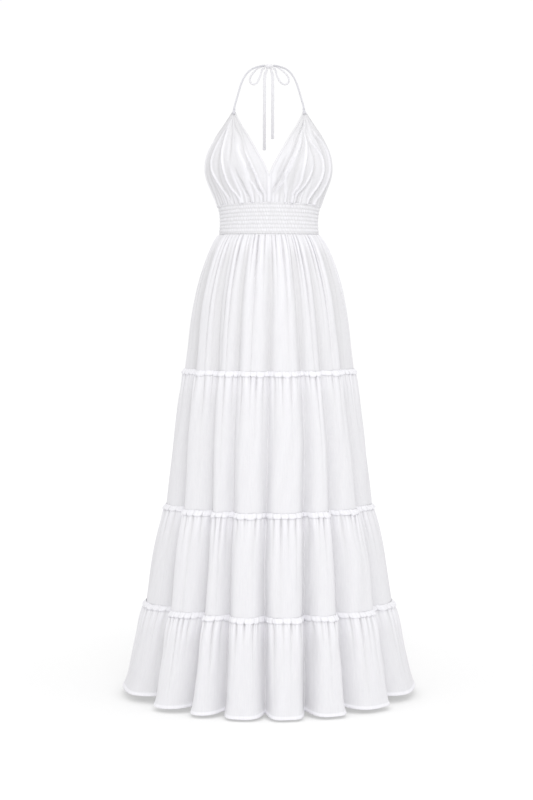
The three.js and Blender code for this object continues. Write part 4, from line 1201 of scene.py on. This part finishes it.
class DRESS_OT_waistband(bpy.types.Operator):
    """Makes the smocked waistband"""

    bl_idname = "dress.waistband"
    bl_label = "Waistband"

    STITCHED_ROWS = 8
    TUCKS = 122
    # How uneven the tucks' widths and heights are, as shares
    TUCK_WIDTHS = 0.45
    TUCK_HEIGHTS = (0.35, 1.0)
    # Columns across each tuck and lines down each row, and lines down the plain inside
    FINENESS = 7
    INNER_LINES = 7
    # Height of the puffs, of the tucks at the stitches, and of the slight waves of the rows
    PUFF = 2.9
    STITCHED_TUCK = 0.3
    ROW_WAVE = 0.5
    # Ranges of those waves' lengths, in degrees round the band and down it, and how many there are
    ROW_WAVE_LENGTHS = ((9, 30), (30, 200))
    ROW_WAVES = 5
    BAND_DEPTH = 60
    # Thickness of the band under its puffs
    WALL = 1.7
    # How far the bottom edge is drawn in, under the skirt
    FOOT_DRAWN_IN = 1.2
    # Painted highlight rises this much over a puff's height, from painted shade this much
    # below the plain cotton at the stitched rows
    PUFF_PAINTED_HIGHLIGHT = 2.6
    STITCH_PAINTED_SHADE = 1.75

    def execute(self, context):
        rng = np.random.default_rng(8)
        edges = uneven_edges(rng, self.TUCKS, self.TUCK_WIDTHS)
        place = columns_of(edges, self.FINENESS)
        tuck, across = across_puffs(place, edges)
        turn = (place * 360 - 90)[None, :]
        down = np.linspace(0, 1, self.STITCHED_ROWS * self.FINENESS + 1)[:, None]
        top = band_top(turn)
        z = top + (BAND_BOTTOM_Z - top) * down
        wave = waves(rng, turn, down * self.BAND_DEPTH, self.ROW_WAVE_LENGTHS, self.ROW_WAVES)
        z = z + self.ROW_WAVE * wave * np.sin(np.pi * down)
        outer, painted_shading = self.outer(rng, turn, z, down, tuck, across)
        inner_rows = np.linspace(1, 0, self.INNER_LINES)[:, None]
        inner_z = top + (BAND_BOTTOM_Z - top) * inner_rows
        inner_turn = np.broadcast_to(turn, inner_z.shape)
        inner = ring_points(BAND_RINGS, inner_turn, inner_z)
        inner -= ring_outward(BAND_RINGS, inner_turn, inner_z) * self.WALL
        points = np.concatenate([outer, inner])
        painted_shading = np.concatenate([painted_shading, np.zeros(inner_z.shape)])
        mesh = grid_mesh(
            "waistband_cotton", points, closed_rows=True, closed_columns=True, painted_shading=painted_shading,
        )
        piece = add_piece(
            "waistband_cotton", mesh, cotton("cloth"), ("waistband_front", "waistband_back"),
        )
        return {"FINISHED"}

    def outer(self, rng, turn, z, down, tuck, across):
        """The cloth puffs out between the stitched rows by the root of |cos| of the place down the
        band, and small tucks cross it: round ridges of uneven width and height that differ from row
        to row. The puffs are painted paler, a painted highlight, and the stitched rows greyer, a
        painted shade."""
        rows_down = down * self.STITCHED_ROWS
        puff = np.abs(np.cos(np.pi * rows_down)) ** 0.5
        ridge = dome(across)
        row = np.clip(np.round(rows_down).astype(int), 0, self.STITCHED_ROWS)
        heights = rng.uniform(*self.TUCK_HEIGHTS, (self.STITCHED_ROWS + 1, tuck.max() + 1))
        own = heights[row[:, 0]][:, tuck]
        shifted = np.roll(ridge, 3)
        pattern = np.where(row % 2 == 0, ridge[None, :], shifted[None, :])
        raised = self.PUFF * puff * (0.5 + 0.5 * own * pattern)
        raised = raised + self.STITCHED_TUCK * (1 - puff) * ridge
        raised = raised - self.FOOT_DRAWN_IN * smoothstep(0.94, 1.0, down)
        full_turn = np.broadcast_to(turn, z.shape)
        points = ring_points(BAND_RINGS, full_turn, z) + (
            ring_outward(BAND_RINGS, full_turn, z) * raised[..., None]
        )
        # Painted highlight on the puffs and painted shade along the stitched rows
        return points, np.clip(raised / self.PUFF * self.PUFF_PAINTED_HIGHLIGHT - self.STITCH_PAINTED_SHADE, -1, 1)


# Gathering of each tier: smallest puffs round its top, samples across each and rows down the cloth
TIER_GRIDS = ((128, 7, 54), (168, 6, 46), (212, 5, 42), (264, 5, 40))
# The sizes of gathers in each tier: how many puffs of the size before join into one; height in
# millimetres; the range of lengths over which they fade; and where they have risen in full
TIER_GATHERS = (
    (((1,), 2.0, (16, 70), 3), ((2, 2, 1, 3), 6.6, (40, 150), 4),
     ((1, 2, 2), 6.5, (110, 330), 40), ((2, 2, 3), 6.0, (280, 620), 110)),
    (((1,), 2.0, (8, 30), 3), ((2, 2, 3), 6.2, (20, 66), 4),
     ((1, 2, 2), 4.2, (44, 150), 24), ((2, 2, 3), 3.8, (130, 360), 60)),
    (((1,), 2.0, (8, 30), 3), ((2, 2, 3), 6.2, (18, 62), 4),
     ((1, 2, 2), 4.2, (36, 130), 22), ((2, 2, 3), 3.6, (90, 260), 50)),
    (((1,), 2.0, (8, 30), 3), ((2, 2, 3), 6.2, (18, 60), 4),
     ((1, 2, 2), 4.0, (34, 120), 22), ((2, 2, 3), 3.4, (80, 220), 50)),
)
GATHER_ROUNDNESS = 0.95
# How uneven the puffs' widths and heights are, as shares
PUFF_WIDTHS = 0.45
PUFF_HEIGHTS = (0.5, 1.25)
# Rows lie closer together near a seam: even shares of the way down, to this power. The inner side
# follows one outer row in so many
ROW_CROWDING = 1.5
INNER_EVERY = 3
HEADING_ROWS = 11
# How far a heading stands above its seam and hangs below it, as shares of its height
HEADING_SHARES = (0.62, 0.4)
# How far a heading leans out, as a share of its lean, at shares of the way down it
HEADING_PROFILE = ((0, 0.12, 0.35, 0.65, 0.85, 0.95, 1), (0.12, 0.4, 0.8, 1, 0.85, 0.5, 0.25))
# A heading's front stands this far out from the cloth under it, and no nearer than that; its waves
# are this high from puff to puff and from tuck to tuck; and its cloth is this thick, with its back
# no nearer than that
HEADING_STANDS = 0.9
HEADING_NEAREST = 0.8
HEADING_WAVES = (2.0, 0.9)
HEADING_CLOTH = 0.9
HEADING_BACK_NEAREST = 0.2
# Millimetres above its seam at which a heading leaves the tier above, and at which it lies on its own
HEADING_CROSSES = (6, -1)
# How much flatter a heading is in the long folds' grooves, and how far it reaches below its seam at
# the least
HEADING_FLATTER = 0.8
HEADING_LEAST = 0.8
# How uneven a heading is: shares of the height to which its puffs stand out, millimetres by which
# its tucks' tips are higher, and shares of the length to which its scallops hang
HEADING_PUFFS = (0.7, 1.3)
HEADING_TIPS = (-0.8, 1.4)
HEADING_SCALLOPS = (0.55, 1.2)
# How much painted highlight makes a heading paler all over and more so on its puffs, and how much
# its tucks add: painted highlight on their tips and painted shade between them
HEADING_PAINTED_SHADING = (0.15, 0.6, 0.4)
# The front rows that the heading's back follows: fewer, because it lies against the tier above
HEADING_BACK_ROWS = [5, 3, 1, 0]
# Share of the way into a long fold that is counted when columns are spaced round a tier
FOLD_WEIGHT = 0.4
# How far below a tier's seam its columns are spaced, and how far under its heading it starts
SPACED_BELOW = 20
UNDER_HEADING = 1.6
# Slight waves in the cloth: height, ranges of their lengths across and down, and how many
SLIGHT_WAVE = 1.9
SLIGHT_WAVE_LENGTHS = ((26, 80), (90, 330))
SLIGHT_WAVES = 8
# How much of the gathers' relief is painted on a tier as shade and highlight all the way down,
# how much more at its seam, and over how many millimetres that fades; and how much painted shade
# greys the long folds' grooves
GATHER_PAINTED_SHADING = (0.3, 0.45)
GATHER_PAINTED_SHADING_FADES = (110, 45, 45, 45)
GROOVE_PAINTED_SHADES = (1.0, 0.6, 0.6, 0.6)
# How much of the gathers the long folds' grooves take away
GROOVE_CALM = 0.92
# How far below the seam the slight waves and the grooves' painted shade start and are full
BELOW_SEAM = (10, 60)
# The tier that ends in the hem
HEM_TIER = 3
# Width of the hem's stitched edge above its turn, the share of the way down where the hem's own
# rows take over, how far the cloth swings out towards its foot and from how far up, how far the
# turn stands out, and how much farther its foot does
HEM_EDGE = 1.4
HEM_STARTS = 0.93
HEM_SWING = 3.0
HEM_SWING_REACH = 38
HEM_RAISE = 1.2
HEM_FOOT_RAISE = 1.4
# Above a seam, how much of the gathers is left and over how far they flatten to it
SEAM_GATHERS = 0.25
SEAM_FLATTENS = 24


class DRESS_OT_skirt(bpy.types.Operator):
    """Makes the four gathered tiers of the skirt with their headings and hem"""

    bl_idname = "dress.skirt"
    bl_label = "Skirt"

    def execute(self, context):
        sizes = context.scene.dress_sizes
        for tier in range(4):
            points, painted_shading = self.tier_points(tier, sizes)
            name = f"skirt_tier_{tier + 1}"
            mesh = grid_mesh(name, points, closed_rows=True, closed_columns=True, painted_shading=painted_shading)
            nodes = (f"tier_{tier + 1}_front", f"tier_{tier + 1}_back")
            piece = add_piece(name, mesh, cotton("cloth"), nodes)
        return {"FINISHED"}

    def tier_points(self, tier, sizes):
        """Every row of a tier as one closed wall: its heading, its outer side down to the bottom
        edge, its inner side back up, and the heading's back."""
        rng = np.random.default_rng(40 + tier)
        puffs, samples, rows = TIER_GRIDS[tier]
        table = TIER_RINGS[tier]
        start = table[0, 0] - SPACED_BELOW
        edges = uneven_edges(rng, puffs, PUFF_WIDTHS)
        place = columns_of(edges, samples)
        turn, round_it = turns_at(table, start, place, FOLD_WEIGHT)
        cloth = {"edges": edges, "place": place, "round": round_it, "turn": turn, "start": start}
        outer, out, painted_tint = self.body(rng, tier, np.linspace(0, 1, rows) ** ROW_CROWDING, cloth, sizes)
        thickness = sizes.cloth_thickness / MM
        inner = (outer - out * thickness)[::-1][::INNER_EVERY]
        plain = np.zeros(inner.shape[:2])
        if tier == 0:
            return np.concatenate([outer, inner]), np.concatenate([painted_tint, plain])
        front, back, heading_painted_shading = self.heading(rng, tier, cloth, sizes)
        return (
            np.concatenate([front, outer, inner, back]),
            np.concatenate([heading_painted_shading, painted_tint, plain, np.zeros(back.shape[:2])]),
        )

    def body(self, rng, tier, steps, cloth, sizes):
        """The outer side below the seam. The long folds come first; on them lie rounded gathers of
        four sizes, small ones that soon join into larger ones, and slight waves. The painted shading
        follows the gathers' relief, painted highlight on their ridges and painted shade between them,
        most near the seam, and painted shade greys the folds' grooves."""
        table = TIER_RINGS[tier]
        first = table[0, 0] - (0.0 if tier == 0 else UNDER_HEADING)
        lowest = table[-1, 0]
        if tier == HEM_TIER:
            bottom = hem_level(carried(cloth["turn"], cloth["start"], HEM_SIDE_Z))
        else:
            bottom = np.full_like(cloth["turn"], SEAM_Z[tier] - SEAM_LAP)
        z = first + (bottom - first) * steps[:, None]
        if tier == HEM_TIER:
            turned = sizes.hem_turn / MM
            # The hem's own rows, up from its foot
            rises = np.array([turned + HEM_EDGE, turned, turned * 0.55, 1.2, 0.0])
            z = np.concatenate([z[steps < HEM_STARTS], bottom + rises[:, None]])
        turn = np.stack([carried(cloth["turn"], cloth["start"], level) for level in z.mean(1)])
        plain = skirt_points(table, turn, np.maximum(z, lowest))
        plain[..., 2] = z
        out = level_outward(plain)
        down = first - z
        from_bottom = z - bottom
        lift = self.gathers(rng, tier, cloth, down)
        slight = waves(
            rng, cloth["place"] * cloth["round"], down, SLIGHT_WAVE_LENGTHS, SLIGHT_WAVES,
        )
        lift = lift + slight * (SLIGHT_WAVE * smoothstep(*BELOW_SEAM, down))
        groove = np.minimum(groove_share(turn, np.maximum(z, lowest)), 1)
        calm = 1 - GROOVE_CALM * groove
        lift = lift * calm
        # Painted highlight on the gathers' ridges, and painted shade in their hollows and in the long
        # folds' grooves
        painted_tint = painted_shading_of(lift, cloth["round"] / len(cloth["place"]))
        painted_tint = painted_tint * (GATHER_PAINTED_SHADING[0] + GATHER_PAINTED_SHADING[1] * np.exp(-down / GATHER_PAINTED_SHADING_FADES[tier]))
        painted_tint = painted_tint - GROOVE_PAINTED_SHADES[tier] * groove * smoothstep(*BELOW_SEAM, down)
        if tier != HEM_TIER:
            lift = lift * (SEAM_GATHERS + (1 - SEAM_GATHERS) * smoothstep(0, SEAM_FLATTENS, from_bottom))
            return plain + out * lift[..., None], out, painted_tint
        hem = smoothstep(turned + HEM_EDGE, turned, from_bottom)
        lift = lift + HEM_SWING * calm * smoothstep(HEM_SWING_REACH, 0, from_bottom)
        lift = lift + (HEM_RAISE + HEM_FOOT_RAISE * smoothstep(turned, 0, from_bottom)) * hem
        # The turned hem is painted palest: a painted highlight along its edge
        return plain + out * lift[..., None], out, painted_tint + (1 - painted_tint) * hem

    def gathers(self, rng, tier, cloth, down):
        """Each size's puffs are domes of uneven height that rise below the seam, fade over lengths
        of their own and stand as far out from the plain surface as they lie behind it."""
        edges = cloth["edges"]
        lift = np.zeros_like(down)
        for size, (joined, height, lengths, risen) in enumerate(TIER_GATHERS[tier]):
            edges = grouped(rng, edges, joined)
            if size == 1:
                cloth["puffs"] = edges
            puff, across = across_puffs(cloth["place"], edges)
            own = height * rng.uniform(*PUFF_HEIGHTS, len(edges))[puff]
            length = rng.uniform(*lengths, len(edges))[puff]
            fade = smoothstep(0, risen, down) * np.exp(-((down / length) ** 1.5))
            lift += own * (dome(across, GATHER_ROUNDNESS) - 0.6) * fade
        return lift

    def heading(self, rng, tier, cloth, sizes):
        """The heading at a seam: a row of puffs that stand above it and hang over it in scallops,
        against the tier above at the top and the tier's own top at the bottom. Gives its front
        rows down and its back rows up."""
        seam = SEAM_Z[tier - 1]
        above, hang = (sizes.heading_height / MM * share for share in HEADING_SHARES)
        puff, across = across_puffs(cloth["place"], cloth["puffs"])
        tuck, tuck_across = across_puffs(cloth["place"], cloth["edges"])
        ridge = dome(across)
        own = rng.uniform(*HEADING_PUFFS, len(cloth["puffs"]))[puff]
        tip = rng.uniform(*HEADING_TIPS, len(cloth["edges"]))[tuck] * dome(tuck_across)
        low = rng.uniform(*HEADING_SCALLOPS, len(cloth["puffs"]))[puff]
        share = np.linspace(0, 1, HEADING_ROWS)[:, None]
        highest = seam + above + tip
        lowest = seam - HEADING_LEAST - (hang - HEADING_LEAST) * low * ridge
        z = highest + (lowest - highest) * share
        turn = carried(cloth["turn"], cloth["start"], seam) + 0 * z
        on_above = skirt_points(TIER_RINGS[tier - 1], turn, np.maximum(z, seam))
        on_own = skirt_points(TIER_RINGS[tier], turn, np.minimum(z, seam))
        leaves, lands = (seam + up for up in HEADING_CROSSES)
        base = on_above + (on_own - on_above) * smoothstep(leaves, lands, z)[..., None]
        base[..., 2] = z
        out = level_outward(base)
        profile = np.interp(share, *HEADING_PROFILE)
        lean = sizes.heading_lean / MM * own
        open_share = 1 - HEADING_FLATTER * np.minimum(groove_share(turn, z), 1)
        puff_wave, tuck_wave = HEADING_WAVES
        waved = puff_wave * (ridge - 0.75) * own + tuck_wave * (dome(tuck_across) - 0.7)
        lifted = lean * profile + waved * np.sqrt(profile)
        offset = np.maximum(HEADING_STANDS + open_share * lifted, HEADING_NEAREST)
        front = base + out * offset[..., None]
        tucked = base[-1:] + out[-1:] * HEADING_STANDS + (0, 0, 1.0)
        behind = np.maximum(offset - HEADING_CLOTH, HEADING_BACK_NEAREST)
        back = (base + out * behind[..., None])[HEADING_BACK_ROWS]
        even, painted_on_puffs, painted_on_tucks = HEADING_PAINTED_SHADING
        # Painted highlight on the heading, most on its puffs, with painted shade between its tucks
        painted_shading = painted_on_puffs * ridge + even + painted_on_tucks * (dome(tuck_across) - 0.6) + 0 * z
        return np.concatenate([front, tucked]), back, np.concatenate([painted_shading, 0 * painted_shading[:1]])


class DRESS_PT_panel(bpy.types.Panel):
    """Lists the steps that build the dress, with its sizes and colours"""

    bl_idname = "DRESS_PT_panel"
    bl_label = "Halter maxi dress"
    bl_space_type = "VIEW_3D"
    bl_region_type = "UI"
    bl_category = "Dress"

    def draw(self, context):
        layout = self.layout
        for operator in STEPS:
            layout.operator(operator.bl_idname)
        for group in GROUPS:
            settings = getattr(context.scene, group)
            for name in settings.__annotations__:
                layout.prop(settings, name)


STEPS = (
    DRESS_OT_stage,
    DRESS_OT_cords,
    DRESS_OT_straps,
    DRESS_OT_bodice,
    DRESS_OT_waistband,
    DRESS_OT_skirt,
)
GROUPS = {"dress_sizes": DressSizes, "dress_colours": DressColours, "dress_stage": DressStage}


def register():
    """Registers the settings, the steps and the panel."""
    for kind in (*GROUPS.values(), *STEPS, DRESS_PT_panel):
        bpy.utils.register_class(kind)
    for name, group in GROUPS.items():
        setattr(bpy.types.Scene, name, bpy.props.PointerProperty(type=group))


def unregister():
    """Takes away what register added."""
    for name in GROUPS:
        delattr(bpy.types.Scene, name)
    for kind in reversed((*GROUPS.values(), *STEPS, DRESS_PT_panel)):
        bpy.utils.unregister_class(kind)


def main():
    """Builds the dress step by step."""
    register()
    for operator in STEPS:
        group, name = operator.bl_idname.split(".")
        getattr(getattr(bpy.ops, group), name)()


if __name__ == "__main__":
    main()
